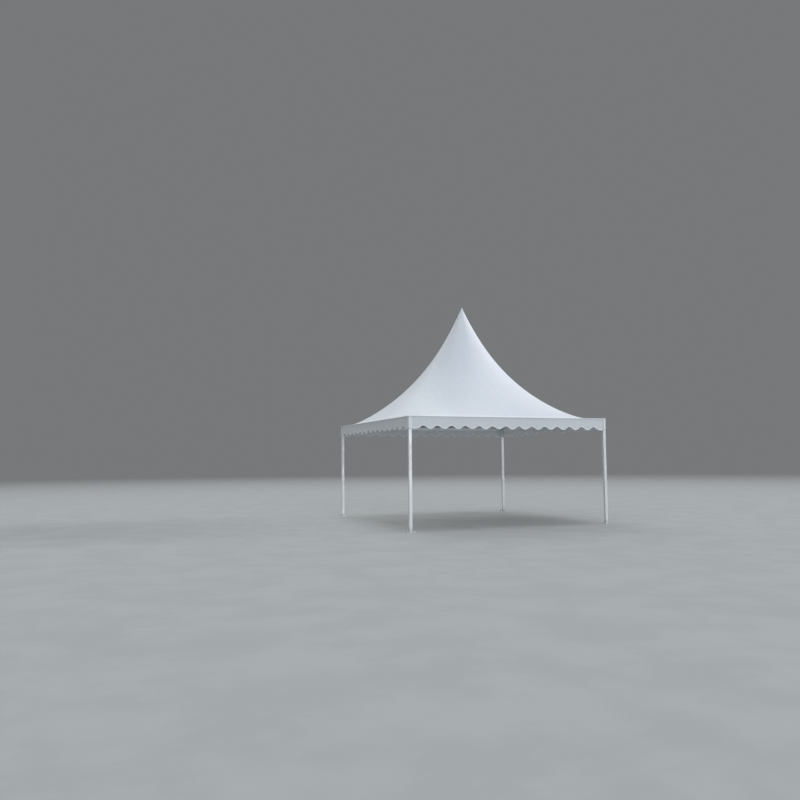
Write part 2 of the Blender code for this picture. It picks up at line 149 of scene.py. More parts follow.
def stain_group():
    """Soft uneven patches, such as dried rain, dust or worn zinc."""
    softness = 0.22
    inputs = {"Vector": "Vector", "Size": "Float", "Cover": "Float"}
    tree, given, result = new_tree("ShaderNodeTree", "stains", inputs, {"Mask": "Float"})
    broad = wire(tree, "ShaderNodeTexNoise", {
        "Vector": given["Vector"], "Scale": figure("DIVIDE", 1.0, given["Size"]), "Detail": 7.0,
        "Roughness": 0.62,
    })
    edge = minus(0.86, times(given["Cover"], 0.5))
    feed(result, {"Mask": eased(minus(broad, minus(edge, softness)), 0.0, softness, 0.0, 1.0)})
    return tree


def stained(place, size, cover):
    inputs = {"Vector": place, "Size": size, "Cover": cover}
    return wire(place.id_data, "ShaderNodeGroup", inputs, node_tree=stains)


def new_material(name):
    """A material, its shader, and object coordinates."""
    made = bpy.data.materials.new(name)
    made.use_nodes = True
    place = add_node(made.node_tree, "ShaderNodeTexCoord").outputs["Object"]
    return made, made.node_tree.nodes["Principled BSDF"], place


def galvanised_steel(name, rust_from=None, rust_to=None):
    """Zinc crystals, pale stains, and rust between two heights where the zinc is knocked off."""
    made, shader, place = new_material(name)
    crystals = add_node(made.node_tree, "ShaderNodeTexVoronoi", {"Vector": place, "Scale": SPANGLES_A_METRE})
    crystal = wire(made.node_tree, "ShaderNodeSeparateColor", {0: crystals.outputs["Color"]})
    pale = stained(place, size=0.06, cover=0.55)
    color = mixed(times(pale, 0.5), mixed(crystal, ZINC, ZINC_BRIGHT), ZINC_STAIN)
    rough = plus(remapped(crystal, 0.0, 1.0, 0.36, 0.50), times(pale, 0.14))
    metal = minus(ZINC_METAL, times(pale, 0.25))
    if rust_from is not None:
        rust = remapped(part_of(place, "Z"), rust_from, rust_to, 0.0, 1.0)
        rust = times(rust, plus(clouds(place, 160.0, 5.0), 0.30))
        rust = eased(rust, 0.42, 0.88, 0.0, 1.0)
        color = mixed(rust, color, RUST)
        rough = plus(rough, times(rust, 0.34))
        metal = minus(metal, times(rust, 0.85))
    grain = bumped(clouds(place, GRAINS_A_METRE, 3.0), strength=0.25, depth=0.0004)
    feed(shader, {"Base Color": color, "Roughness": rough, "Metallic": metal, "Normal": grain})
    return made


def as_mesh(shape):
    """The bmesh as a mesh with smooth shading."""
    mesh = bpy.data.meshes.new("part")
    shape.to_mesh(mesh)
    shape.free()
    mesh.shade_smooth()
    return mesh


def finished(shape, sharp_degrees=35):
    """The bmesh as a mesh with its faces outwards and its steep edges sharp."""
    bmesh.ops.remove_doubles(shape, verts=shape.verts, dist=1e-6)
    bmesh.ops.recalc_face_normals(shape, faces=shape.faces)
    mesh = as_mesh(shape)
    mesh.set_sharp_from_angle(angle=math.radians(sharp_degrees))
    return mesh


def prism(outlines, along):
    """Closed outlines in one plane, the first outside and any others holes, pushed along."""
    shape = bmesh.new()
    edges = []
    for outline in outlines:
        points = [shape.verts.new(point) for point in outline]
        edges += [shape.edges.new(pair) for pair in zip(points, points[1:] + points[:1])]
    bmesh.ops.triangle_fill(shape, edges=edges, use_beauty=True)
    pushed = bmesh.ops.extrude_face_region(shape, geom=shape.faces[:])
    far = [item for item in pushed["geom"] if isinstance(item, bmesh.types.BMVert)]
    bmesh.ops.translate(shape, vec=Vector(along), verts=far)
    bmesh.ops.recalc_face_normals(shape, faces=shape.faces)
    return shape


def chamfered(shape, width, least_degrees=50):
    """The same shape with its steep edges broken."""
    least = math.radians(least_degrees)
    edges = [edge for edge in shape.edges if len(edge.link_faces) == 2 and edge.calc_face_angle() > least]
    bmesh.ops.bevel(shape, geom=edges, offset=width, segments=1, affect="EDGES", clamp_overlap=True)
    return shape


def united(shapes):
    """One bmesh that holds them all."""
    whole = bmesh.new()
    for shape in shapes:
        mesh = as_mesh(shape)
        whole.from_mesh(mesh)
        bpy.data.meshes.remove(mesh)
    return whole


def shares(count):
    """From 0 to 1 in so many even steps."""
    return [step / count for step in range(count + 1)]


def arc(x, y, radius, start, sweep, steps):
    """Points round (x, y), from one angle and over another, both in quarter turns."""
    turns = [(start + sweep * share) * math.pi / 2 for share in shares(steps)]
    return [(x + radius * math.cos(turn), y + radius * math.sin(turn)) for turn in turns]


def circle(x, y, radius, sides=28):
    return arc(x, y, radius, 0, 4, sides)[:-1]


def leg_cross(bottom, height):
    """The cross of two flats that fits into a leg."""
    reach, flat = half_leg - LEG_WALL - CROSS_PLAY, CROSS_FLAT / 2
    arm = [(reach, -flat), (reach, flat), (flat, flat)]
    points = []
    for _ in range(4):
        points += [(leg_middle.x + x, leg_middle.y + y, bottom) for x, y in arm]
        arm = [(-y, x) for x, y in arm]
    return prism([points], (0, 0, height))


def base_plate():
    middle = (plate_low + plate_high) / 2
    inset = (plate_high.x - plate_low.x) / 2 - PLATE_CORNER_RADIUS
    edge = []
    for quarter, (x, y) in enumerate(((1, 1), (-1, 1), (-1, -1), (1, -1))):
        edge += arc(middle.x + x * inset, middle.y + y * inset, PLATE_CORNER_RADIUS, quarter, 1, 6)
    outlines = [edge]
    for peg in ("stake_a_front_left", "stake_b_front_left"):
        low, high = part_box(peg)
        outlines.append(circle(*((low + high) / 2).xy, STAKE_RADIUS + STAKE_HOLE_PLAY))
    flat = prism([[(x, y, 0) for x, y in outline] for outline in outlines], (0, 0, plate_top))
    return united([chamfered(flat, PLATE_CHAMFER), leg_cross(plate_top, plate_high.z - plate_top)])


def quarter_turn(turns, axis="Z"):
    return Matrix.Rotation(turns * math.pi / 2, 4, axis)


def put_in_scene(name, data):
    made = bpy.data.objects.new(name, data)
    bpy.context.scene.collection.objects.link(made)
    return made


def stand(name, mesh, finish, node=None, turns=0):
    """A finished piece that may replace a node, quarter turns on about the tent's middle."""
    mesh = mesh.copy()
    mesh.name = name
    mesh.transform(quarter_turn(turns))
    mesh.materials.clear()
    mesh.materials.append(finish)
    piece = put_in_scene(name, mesh)
    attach(piece, "root")
    if node:
        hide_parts(node)
    return piece


def stand_round(places, name, mesh, finish, node=None):
    """The same piece at every corner or side."""
    return [stand(f"{name}_{place}", mesh, finish, node and f"{node}_{place}", turns)
            for turns, place in enumerate(places)]


stains = stain_group()
zinc = galvanised_steel("zinc_coat")
stand_round(CORNERS, "foot_plate", finished(base_plate()), zinc, "base_plate")


# Ground stakes
# Forged round pegs with a collar welded on, driven through the plate with a sledgehammer. Zinc
# is left on the collar, and the struck end is burred over and brown with rust.

COLLAR_HEIGHT = 0.014
COLLAR_CHAMFER = 0.0022
COLLAR_WELD = 0.0018
BURR = 0.0024  # how far the struck end spreads past the shaft
BURR_DEPTH = 0.010
DENT_DEPTH = 0.0008
RUST_FROM = 0.022  # below the struck end
RUST_TO = 0.004

stake_low, stake_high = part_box("stake_a_front_left")


def turned(profile, sides=32):
    """A closed outline of (radius, height) points, spun about the Z axis."""
    shape = bmesh.new()
    points = [shape.verts.new((radius, 0, height)) for radius, height in profile]
    edges = [shape.edges.new(pair) for pair in zip(points, points[1:] + points[:1])]
    bmesh.ops.spin(shape, geom=points + edges, axis=(0, 0, 1), cent=(0, 0, 0),
                   angle=2 * math.pi, steps=sides, use_merge=True)
    bmesh.ops.remove_doubles(shape, verts=shape.verts, dist=1e-7)
    bmesh.ops.dissolve_degenerate(shape, dist=1e-8, edges=shape.edges)
    on_axis = [edge for edge in shape.edges if all(v.co.xy.length < 1e-7 for v in edge.verts)]
    bmesh.ops.delete(shape, geom=on_axis, context="EDGES")
    bmesh.ops.recalc_face_normals(shape, faces=shape.faces)
    return shape


def stake(seed):
    top, shaft, collar = stake_high.z, STAKE_RADIUS, (stake_high.x - stake_low.x) / 2
    collar_low = plate_top + SEAT_GAP
    collar_top = collar_low + COLLAR_HEIGHT
    shape = turned([
        (0, SEAT_GAP), (shaft, SEAT_GAP), (shaft, collar_low), (collar - COLLAR_CHAMFER, collar_low),
        (collar, collar_low + COLLAR_CHAMFER / 2), (collar, collar_top - COLLAR_CHAMFER),
        (collar - COLLAR_CHAMFER, collar_top), (shaft + COLLAR_WELD, collar_top),
        (shaft, collar_top + COLLAR_WELD), (shaft, top - BURR_DEPTH),
        (shaft + BURR * 0.4, top - BURR_DEPTH * 0.5), (shaft + BURR, top - 0.0035),
        (shaft + BURR * 0.8, top - 0.0012), (shaft - 0.002, top - 0.0003), (0, top - 0.0010),
    ], 40)
    for point in shape.verts:
        struck = max(0.0, (point.co.z - top + BURR_DEPTH) / BURR_DEPTH)
        if point.co.xy.length > shaft / 2 and struck > 0:
            swell = 1 + 0.10 * struck * noise.noise(point.co * 130 + Vector((seed * 7.3, 0, 0)))
            point.co.xy *= swell
            dent = abs(noise.noise(point.co * 210 + Vector((0, seed * 3.1, 0))))
            point.co.z -= DENT_DEPTH * struck * dent
    return shape


knocked_zinc = galvanised_steel("zinc_coat_knocked", stake_high.z - RUST_FROM, stake_high.z - RUST_TO)
for turns, corner in enumerate(CORNERS):
    for number, letter in enumerate("ab"):
        low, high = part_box(f"stake_{letter}_front_left")
        mesh = finished(stake(2 * turns + number))
        mesh.transform(Matrix.Translation((*((low + high) / 2).xy, 0)))
        stand(f"ground_peg_{letter}_{corner}", mesh, knocked_zinc,
              f"stake_{letter}_{corner}", turns)


# Legs
# Square aluminium extrusions, open at both ends. The two faces that look along the tent's sides
# have a keder channel near the outer edge for side walls, and a pin through the foot locks each
# leg to its base plate.

LEG_EDGE_RADIUS = 0.004
KEDER_MOUTH = 0.006
KEDER_BORE = 0.0095
KEDER_LIP = 0.003
LIP_CHAMFER = 0.0006
CHANNEL_FROM_EDGE = 0.0135
FLAT_SUPPORT = 0.0007  # keeps the flats flat where the round edges are shaded smooth
ALUMINIUM = (0.90, 0.912, 0.920, 1.0)
ALUMINIUM_DULL = (0.77, 0.79, 0.80, 1.0)
ALUMINIUM_METAL = 0.46  # satin and oxidised, so it is no mirror
DIE_LINES_A_METRE = 320.0
GRASS_STAIN_AND_REFLECTION = (0.47, 0.48, 0.41, 1.0)
SPLASH_HEIGHT = 0.16


def keder_channel(mouth, inward, along):
    """Outline of a round channel behind a narrow mouth, met while walking along the wall."""
    half_mouth, bore = KEDER_MOUTH / 2, KEDER_BORE / 2
    lip = math.asin(half_mouth / bore)
    centre = mouth + inward * (KEDER_LIP + bore * math.cos(lip))
    round_it = arc(0, 0, bore, -lip / (math.pi / 2), -4 + 2 * lip / (math.pi / 2), 12)
    near, far = mouth - along * half_mouth, mouth + along * half_mouth
    return [near - along * LIP_CHAMFER, near + inward * LIP_CHAMFER,
            *(centre - inward * x + along * y for x, y in round_it),
            far + inward * LIP_CHAMFER, far + along * LIP_CHAMFER]


def extrusion_outlines(half_x, half_y, wall, channels):
    """Outer and inner outline of a tube, counterclockwise from the bottom face.

    Each channel is (face, True if it is near the face's start), faces counted from the bottom.
    """
    corners = [Vector((x * half_x, y * half_y)) for x, y in ((-1, -1), (1, -1), (1, 1), (-1, 1))]
    pocket = KEDER_LIP + KEDER_BORE + wall / 2
    reach = CHANNEL_FROM_EDGE + KEDER_BORE / 2 + wall / 2
    flat = LEG_EDGE_RADIUS + FLAT_SUPPORT
    way, outer, inner = Vector((1, 0)), [], []
    for face, corner in enumerate(corners):
        inward = Vector((-way.y, way.x))
        following = corners[(face + 1) % 4]
        centre = corner + (way + inward) * LEG_EDGE_RADIUS
        outer += [centre - way * x - inward * y for x, y in arc(0, 0, LEG_EDGE_RADIUS, 0, 1, 6)]
        outer.append(corner + way * flat)
        if (face, True) in channels:
            outer += keder_channel(corner + way * CHANNEL_FROM_EDGE, inward, way)
        if (face, False) in channels:
            outer += keder_channel(following - way * CHANNEL_FROM_EDGE, inward, way)
        outer.append(following - way * flat)
        if (face, True) in channels:
            steps = ((wall, pocket), (reach, pocket), (reach, wall))
        elif ((face - 1) % 4, False) in channels:
            steps = ((wall, reach), (pocket, reach), (pocket, wall))
        else:
            steps = ((wall, wall),)
        inner += [corner + way * x + inward * y for x, y in steps]
        way = inward
    return outer, inner


def extruded_aluminium(name, length_axis, splash=0.0):
    """Satin metal with fine lines along its length, dull patches, and near the ground grass stain together
    with a painted reflection of grass.
    """
    made, shader, place = new_material(name)
    stretch = [DIE_LINES_A_METRE] * 3
    stretch[length_axis] = 1.6
    drawn = wire(made.node_tree, "ShaderNodeMapping", {"Vector": place, "Scale": stretch})
    lines = clouds(drawn, 1.0, 3.0)
    dull = stained(place, size=0.35, cover=0.55)
    color = mixed(remapped(lines, 0.35, 0.65, 0.0, 0.30), ALUMINIUM, ALUMINIUM_DULL)
    color = mixed(times(dull, 0.45), color, ALUMINIUM_DULL)
    rough = plus(remapped(lines, 0.3, 0.7, 0.30, 0.40), times(dull, 0.12))
    metal = minus(ALUMINIUM_METAL, times(dull, 0.12))
    # Greener, rougher and duller near the ground: grass stain, and a painted reflection of grass.
    if splash:
        spots = remapped(stained(place, size=0.03, cover=0.9), 0.0, 1.0, 0.10, 0.60)
        low = times(eased(part_of(place, "Z"), 0.0, splash, 1.0, 0.0), spots)
        color = mixed(low, color, GRASS_STAIN_AND_REFLECTION)
        rough = plus(rough, times(low, 0.3))
        metal = minus(metal, times(low, 0.5))
    relief = bumped(lines, strength=0.12, depth=0.0003)
    feed(shader, {"Base Color": color, "Roughness": rough, "Metallic": metal, "Normal": relief})
    return made


def leg():
    outlines = extrusion_outlines(half_leg, half_leg, LEG_WALL, [(1, True), (2, False)])
    placed = [[(leg_middle.x + x, leg_middle.y + y, leg_low.z) for x, y in outline] for outline in outlines]
    return prism(placed, (0, 0, leg_high.z - leg_low.z))


upright = extruded_aluminium("aluminium_upright", 2, SPLASH_HEIGHT)
stand_round(CORNERS, "leg_extrusion", finished(leg(), 30), upright, "leg")


# Lock pins
# Turned steel pins with a domed head, one through the foot of each leg and its cross. A spring
# clip of bent wire goes through the free end, which points at the middle of the tent.

LOCK_PIN_RADIUS = 0.006
LOCK_PIN_HEIGHT = 0.066
PIN_HEAD_RADIUS = 0.0105
PIN_HEAD_DEPTH = 0.0055
PIN_END = 0.014  # past the leg's inner face
CLIP_WIRE = 0.0022
CLIP_LENGTH = 0.034
CLIP_WIDTH = 0.0075
CLIP_BEND = -0.55 * CLIP_LENGTH


def woven(shape, rows, closed=False):
    """Faces between rows of points, each face with its row and its place in the row."""
    made = []
    for row, (low, high) in enumerate(zip(rows, rows[1:])):
        for here in range(len(low) - (not closed)):
            there = (here + 1) % len(low)
            made.append((shape.faces.new((low[here], low[there], high[there], high[here])), row, here))
    return made


def sweep(points, radius, sides=8):
    """A round bar along the points, closed at its ends."""
    shape = bmesh.new()
    points = [Vector(point) for point in points]
    side, rings = None, []
    for index, point in enumerate(points):
        along = (points[min(index + 1, len(points) - 1)] - points[max(index - 1, 0)]).normalized()
        side = side or along.orthogonal().normalized()
        side = (side - along * side.dot(along)).normalized()
        other = along.cross(side)
        rings.append([shape.verts.new(point + side * x + other * y) for x, y in circle(0, 0, radius, sides)])
    woven(shape, rings, closed=True)
    shape.faces.new(rings[0][::-1])
    shape.faces.new(rings[-1])
    return shape


def moved(shape, matrix):
    bmesh.ops.transform(shape, matrix=matrix, verts=shape.verts)
    return shape


def lock_pin():
    """Along X, with the head outside the leg's left face."""
    length = 2 * half_leg + PIN_END
    under_head = -0.0004
    dome = [(PIN_HEAD_RADIUS * across, -PIN_HEAD_DEPTH * out)
            for across, out in ((0, 1), (0.6, 0.93), (0.9, 0.62), (1, 0.3))]
    pin = turned(dome + [
        (PIN_HEAD_RADIUS, under_head), (LOCK_PIN_RADIUS, under_head), (LOCK_PIN_RADIUS, length - 0.001),
        (LOCK_PIN_RADIUS - 0.001, length), (0, length),
    ], 24)
    wire_line = [(CLIP_LENGTH * 0.45, 0.0), (0.0, 0.0)]
    wire_line += arc(CLIP_BEND, CLIP_WIDTH / 2, CLIP_WIDTH / 2, -1, -2, 12)
    for share in shares(8)[1:]:
        wave = 0.5 - 0.5 * math.cos(2 * math.pi * min(share * 1.4, 1.0))
        wire_line.append((CLIP_BEND + CLIP_LENGTH * 0.95 * share, CLIP_WIDTH * (1 - 0.28 * wave)))
    clip = sweep([(x, y, length - PIN_END * 0.45) for x, y in wire_line], CLIP_WIRE / 2, 6)
    place = Matrix.Translation((leg_low.x, leg_middle.y, LOCK_PIN_HEIGHT))
    return moved(united([pin, clip]), place @ quarter_turn(1, "Y"))


stand_round(CORNERS, "lock_pin", finished(lock_pin()), zinc)


# Corner brackets
# Steel blocks welded up from plate and galvanised: a cross goes down into the leg, a box into
# each beam, and a lug welded on the inner edge takes the cable. Weld beads run down both sides
# of the lug.

BRACKET_CHAMFER = 0.0020
LUG_CHAMFER = 0.0006
LUG_THICKNESS = 0.008
LUG_HALF_HEIGHT = 0.020
LUG_REACH = 0.040
LUG_ROOT = 0.004  # how deep it is set into the block
PIN_RADIUS = 0.006
PIN_PLAY = 0.0006
PIN_DROP = 0.028  # top of the beam to the pin
SPIGOT_LENGTH = 0.12
SPIGOT_PLAY = 0.0022
SPIGOT_CHAMFER = 0.001
WELD_WIDTH = 0.0058
WELD_PITCH = 0.0019
WELD_SUNK = 0.0012  # how far a bead's middle lies inside the block's corner
DIAGONAL = Vector((1, 1, 0)).normalized()
ACROSS = Vector((1, -1, 0)).normalized()
UP = Vector((0, 0, 1))

beam_low, beam_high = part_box("eave_beam_front")
beam_middle = (beam_low + beam_high) / 2
half_beam = (beam_high - beam_low) / 2
half_side = -leg_low.x
eave = beam_high.z
bracket_inside = beam_low.x - SEAT_GAP


def new_geometry_tree(name, sizes):
    """A geometry tree that takes a mesh, named sizes and a finish."""
    inputs = {"Geometry": "Geometry", **sizes, "Finish": "Material"}
    return new_tree("GeometryNodeTree", name, inputs, {"Geometry": "Geometry"})


def close_tree(given, result, geometry):
    """Ends a geometry tree: instances realised, shaded smooth, and given their finish."""
    tree = result.id_data
    real = wire(tree, "GeometryNodeRealizeInstances", {0: geometry})
    smooth = wire(tree, "GeometryNodeSetShadeSmooth", {0: real})
    dressed = wire(tree, "GeometryNodeSetMaterial", {"Geometry": smooth, "Material": given["Finish"]})
    feed(result, {0: dressed})
    return tree


def spaced_path(given, spacing):
    """The tree's input mesh as curves, with a point at each spacing."""
    tree = spacing.id_data
    curve = wire(tree, "GeometryNodeMeshToCurve", {0: given["Geometry"]})
    return wire(tree, "GeometryNodeResampleCurve", {"Curve": curve, "Length": spacing}, mode="LENGTH")


def grown(tree, paths, finish, sizes):
    """The plain mesh that a geometry tree makes along paths, each a list of points."""
    points, edges = [], []
    for path in paths:
        edges += [(len(points) + step, len(points) + step + 1) for step in range(len(path) - 1)]
        points += path
    lines = bpy.data.meshes.new("paths")
    lines.from_pydata(points, edges, [])
    holder = put_in_scene("paths", lines)
    growth = holder.modifiers.new("growth", "NODES")
    growth.node_group = tree
    sockets = {item.name: item.identifier for item in tree.interface.items_tree if item.in_out == "INPUT"}
    for label, value in {**sizes, "Finish": finish}.items():
        growth[sockets[label]] = value
    mesh = bpy.data.meshes.new_from_object(holder.evaluated_get(bpy.context.evaluated_depsgraph_get()))
    holder.modifiers.remove(growth)
    bpy.data.objects.remove(holder)
    bpy.data.meshes.remove(lines)
    return mesh


def bead_tree():
    """Small ellipsoids spaced along each path: a weld's ripples, or stitches."""
    sizes = {"Pitch": "Float", "Bead Length": "Float", "Bead Width": "Float"}
    tree, given, result = new_geometry_tree("beads_along_a_path", sizes)
    spaced = spaced_path(given, given["Pitch"])
    tangent = wire(tree, "GeometryNodeInputTangent")
    return close_tree(given, result, wire(tree, "GeometryNodeInstanceOnPoints", {
        "Points": spaced,
        "Instance": wire(tree, "GeometryNodeMeshUVSphere", {"Segments": 6, "Rings": 4, "Radius": 0.5}),
        "Rotation": wire(tree, "FunctionNodeAlignRotationToVector", {"Vector": tangent}, axis="X"),
        "Scale": wire(tree, "ShaderNodeCombineXYZ", {
            "X": given["Bead Length"], "Y": given["Bead Width"], "Z": given["Bead Width"],
        }),
    }))


def weld(paths):
    sizes = {"Pitch": WELD_PITCH, "Bead Length": WELD_PITCH * 2.2, "Bead Width": WELD_WIDTH}
    return grown(beads, paths, zinc, sizes)


def lug(root, reach, height):
    """Upright plate along the diagonal from its root, with an eye at the pin's reach."""
    start = Vector((root.x, root.y, height))
    pin = start + DIAGONAL * reach
    nose = arc(0, 0, LUG_HALF_HEIGHT, 1, -2, 16)
    outline = [start - UP * LUG_HALF_HEIGHT, start + UP * LUG_HALF_HEIGHT]
    outline += [pin + DIAGONAL * x + UP * y for x, y in nose]
    eye = [pin + DIAGONAL * x + UP * y for x, y in circle(0, 0, PIN_RADIUS + PIN_PLAY, 24)]
    across = ACROSS * LUG_THICKNESS
    near_face = [[point - across / 2 for point in ring] for ring in (outline, eye)]
    return chamfered(prism(near_face, across), LUG_CHAMFER)


def box_between(low, high):
    shape = bmesh.new()
    bmesh.ops.create_cube(shape, size=1.0)
    low, high = Vector(low), Vector(high)
    return moved(shape, Matrix.LocRotScale((low + high) / 2, None, high - low))


def corner_bracket():
    block = box_between((-half_side, -half_side, beam_low.z), (bracket_inside, bracket_inside, eave))
    down = leg_cross(beam_low.z - SEAT_GAP - SPIGOT_LENGTH, SPIGOT_LENGTH + 2 * SEAT_GAP)
    play = KEDER_BORE + 2 * LEG_WALL + SPIGOT_PLAY
    width, height = half_beam.y - play, half_beam.z - play
    along_x = ((bracket_inside, beam_middle.y - width),
               (bracket_inside + SPIGOT_LENGTH, beam_middle.y + width))
    spigots = [
        chamfered(box_between((*low, beam_middle.z - height), (*high, beam_middle.z + height)),
                  SPIGOT_CHAMFER)
        for low, high in (along_x, [end[::-1] for end in along_x])
    ]
    root = Vector((bracket_inside, bracket_inside, 0)) - DIAGONAL * LUG_ROOT
    ear = lug(root, LUG_REACH + LUG_ROOT, eave - PIN_DROP)
    return united([chamfered(block, BRACKET_CHAMFER), down, *spigots, ear])


def lug_welds(root, stand_off):
    """Paths of the beads on both sides of a lug, from the middle of its root."""
    feet = [root + ACROSS * side * (LUG_THICKNESS / 2 + WELD_WIDTH * stand_off) for side in (-1, 1)]
    return [[foot - UP * LUG_HALF_HEIGHT, foot + UP * LUG_HALF_HEIGHT] for foot in feet]


beads = bead_tree()
weld_root = Vector((bracket_inside, bracket_inside, eave - PIN_DROP)) - DIAGONAL * WELD_SUNK
bracket_mesh = finished(corner_bracket())
stand_round(CORNERS, "bracket_block", bracket_mesh, zinc, "corner_bracket")
stand_round(CORNERS, "bracket_weld", weld(lug_welds(weld_root, 0.25)), zinc)


# Eave beams
# Aluminium box extrusions between the brackets. The outer face has the keder channel that holds
# the roof's edge, and the underside one for side walls. Two hexagon bolts at each end go through
# the beam into the bracket's box.

SIDES = ("front", "right", "back", "left")
BOLT_FROM_END = (0.030, 0.085)
BOLT_HEX = 0.019  # across the flats
BOLT_HEAD = 0.0075
BOLT_CHAMFER = 0.0009
WASHER_RADIUS = 0.012
WASHER_DEPTH = 0.0022
WASHER_EDGE = 0.0004


def eave_beam():
    outlines = extrusion_outlines(half_beam.y, half_beam.z, LEG_WALL, [(0, True), (3, True)])
    placed = [[(beam_low.x, beam_middle.y + across, beam_middle.z + up) for across, up in outline]
              for outline in outlines]
    return prism(placed, (beam_high.x - beam_low.x, 0, 0))


def hex_bolt():
    """Washer and hexagon head that stand on the plane Z = 0, head up."""
    washer = turned([(0, 0), (WASHER_RADIUS, 0), (WASHER_RADIUS, WASHER_DEPTH * 0.8),
                     (WASHER_RADIUS - WASHER_EDGE, WASHER_DEPTH), (0, WASHER_DEPTH)], 24)
    flats = [(x, y, WASHER_DEPTH) for x, y in circle(0, 0, BOLT_HEX / math.sqrt(3), 6)]
    return united([washer, chamfered(prism([flats], (0, 0, BOLT_HEAD)), BOLT_CHAMFER)])


def beam_bolts():
    """Four heads on the inner face, two near each end, each stopped at a turn of its own."""
    heads = []
    for end in (-1, 1):
        for number, inset in enumerate(BOLT_FROM_END):
            place = Matrix.Translation((end * (beam_high.x - inset), beam_high.y, beam_middle.z))
            own_turn = Matrix.Rotation(0.4 + number * 0.9 + end, 4, "Z")
            heads.append(moved(hex_bolt(), place @ quarter_turn(-1, "X") @ own_turn))
    return united(heads)


beam_metal = (extruded_aluminium("aluminium_crosswise", 0), extruded_aluminium("aluminium_lengthwise", 1))
beam_mesh = finished(eave_beam(), 30)
for turns, side in enumerate(SIDES):
    stand(f"beam_extrusion_{side}", beam_mesh, beam_metal[turns % 2], f"eave_beam_{side}", turns)
stand_round(SIDES, "beam_bolts", finished(beam_bolts()), zinc)


# Turnbuckles
# Forged open-body tensioners, galvanised. A fork with a pin hangs on the bracket's lug, its
# threaded rod runs through a lock nut into the body, and the cable's swaged stud comes in at the
# other end.

FORK_GAP = LUG_THICKNESS / 2 + SEAT_GAP
FORK_CHEEK = 0.004
FORK_NOSE = 0.013
FORK_WAIST = FORK_NOSE * 0.72
FORK_SLOT = 0.034
FORK_BACK = 0.012
FORK_CHAMFER = 0.0007
CROWN_CHAMFER = 0.0012
FORK_PIN_HEAD = 0.0045
FORK_PIN_END = 0.007
SPLIT_PIN_RADIUS = 0.0011
SPLIT_PIN_OUT = 0.0042  # from the cheek
ROD_RADIUS = 0.0072
ROD_LENGTH = 0.050
ROD_INTO_FORK = 0.002
ROD_PAST_BOSS = 0.030
THREAD_PITCH = 0.002
THREAD_RIDGE = 0.0009
THREAD_FROM_FORK = 0.003
THREAD_PAST_BOSS = 0.028
BODY_LENGTH = 0.200
BOSS_RADIUS = 0.013
BOSS_LENGTH = 0.026
BOSS_EDGE = 0.0016
RAIL_HALF_WIDTH = 0.0042
RAIL_THICKNESS = 0.0055
RAIL_OVERLAP = 0.004  # how far each end runs into its boss
RAIL_CHAMFER = 0.0014
NUT_HEX = 0.024
NUT_DEPTH = 0.009
NUT_CHAMFER = 0.001
TURNED_EDGE = 0.001
MAST_LUG_CIRCLE = 0.0731  # mast's middle to the pins of its foot
MAST_PIN_RISE = 0.028  # underside of the mast foot to its pins

foot_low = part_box("mast_foot")[0]
corner_pin = Vector((bracket_inside, bracket_inside, eave - PIN_DROP)) + DIAGONAL * LUG_REACH
mast_pin = UP * (foot_low.z + MAST_PIN_RISE) - DIAGONAL * MAST_LUG_CIRCLE
cable_way = (mast_pin - corner_pin).normalized()
fork_end = FORK_SLOT + FORK_BACK
body_start = fork_end + ROD_LENGTH
body_end = body_start + BODY_LENGTH


def on_the_cable(shape):
    """A finished mesh from an axis along +X, laid on the cable's own line with its lugs upright."""
    across = Vector((-cable_way.y, cable_way.x, 0)).normalized()
    matrix = Matrix((cable_way, across, cable_way.cross(across))).transposed().to_4x4()
    matrix.translation = corner_pin
    mesh = finished(shape)
    mesh.transform(matrix)
    return mesh


def turned_along_x(profile, sides):
    return moved(turned(profile, sides), quarter_turn(1, "Y"))


def tube(inner, outer, low, high, edge=0.0):
    """Profile of a round tube, with the outer edges broken."""
    if not edge:
        return [(inner, low), (outer, low), (outer, high), (inner, high)]
    return [(inner, low), (outer - edge, low), (outer, low + edge),
            (outer, high - edge), (outer - edge, high), (inner, high)]


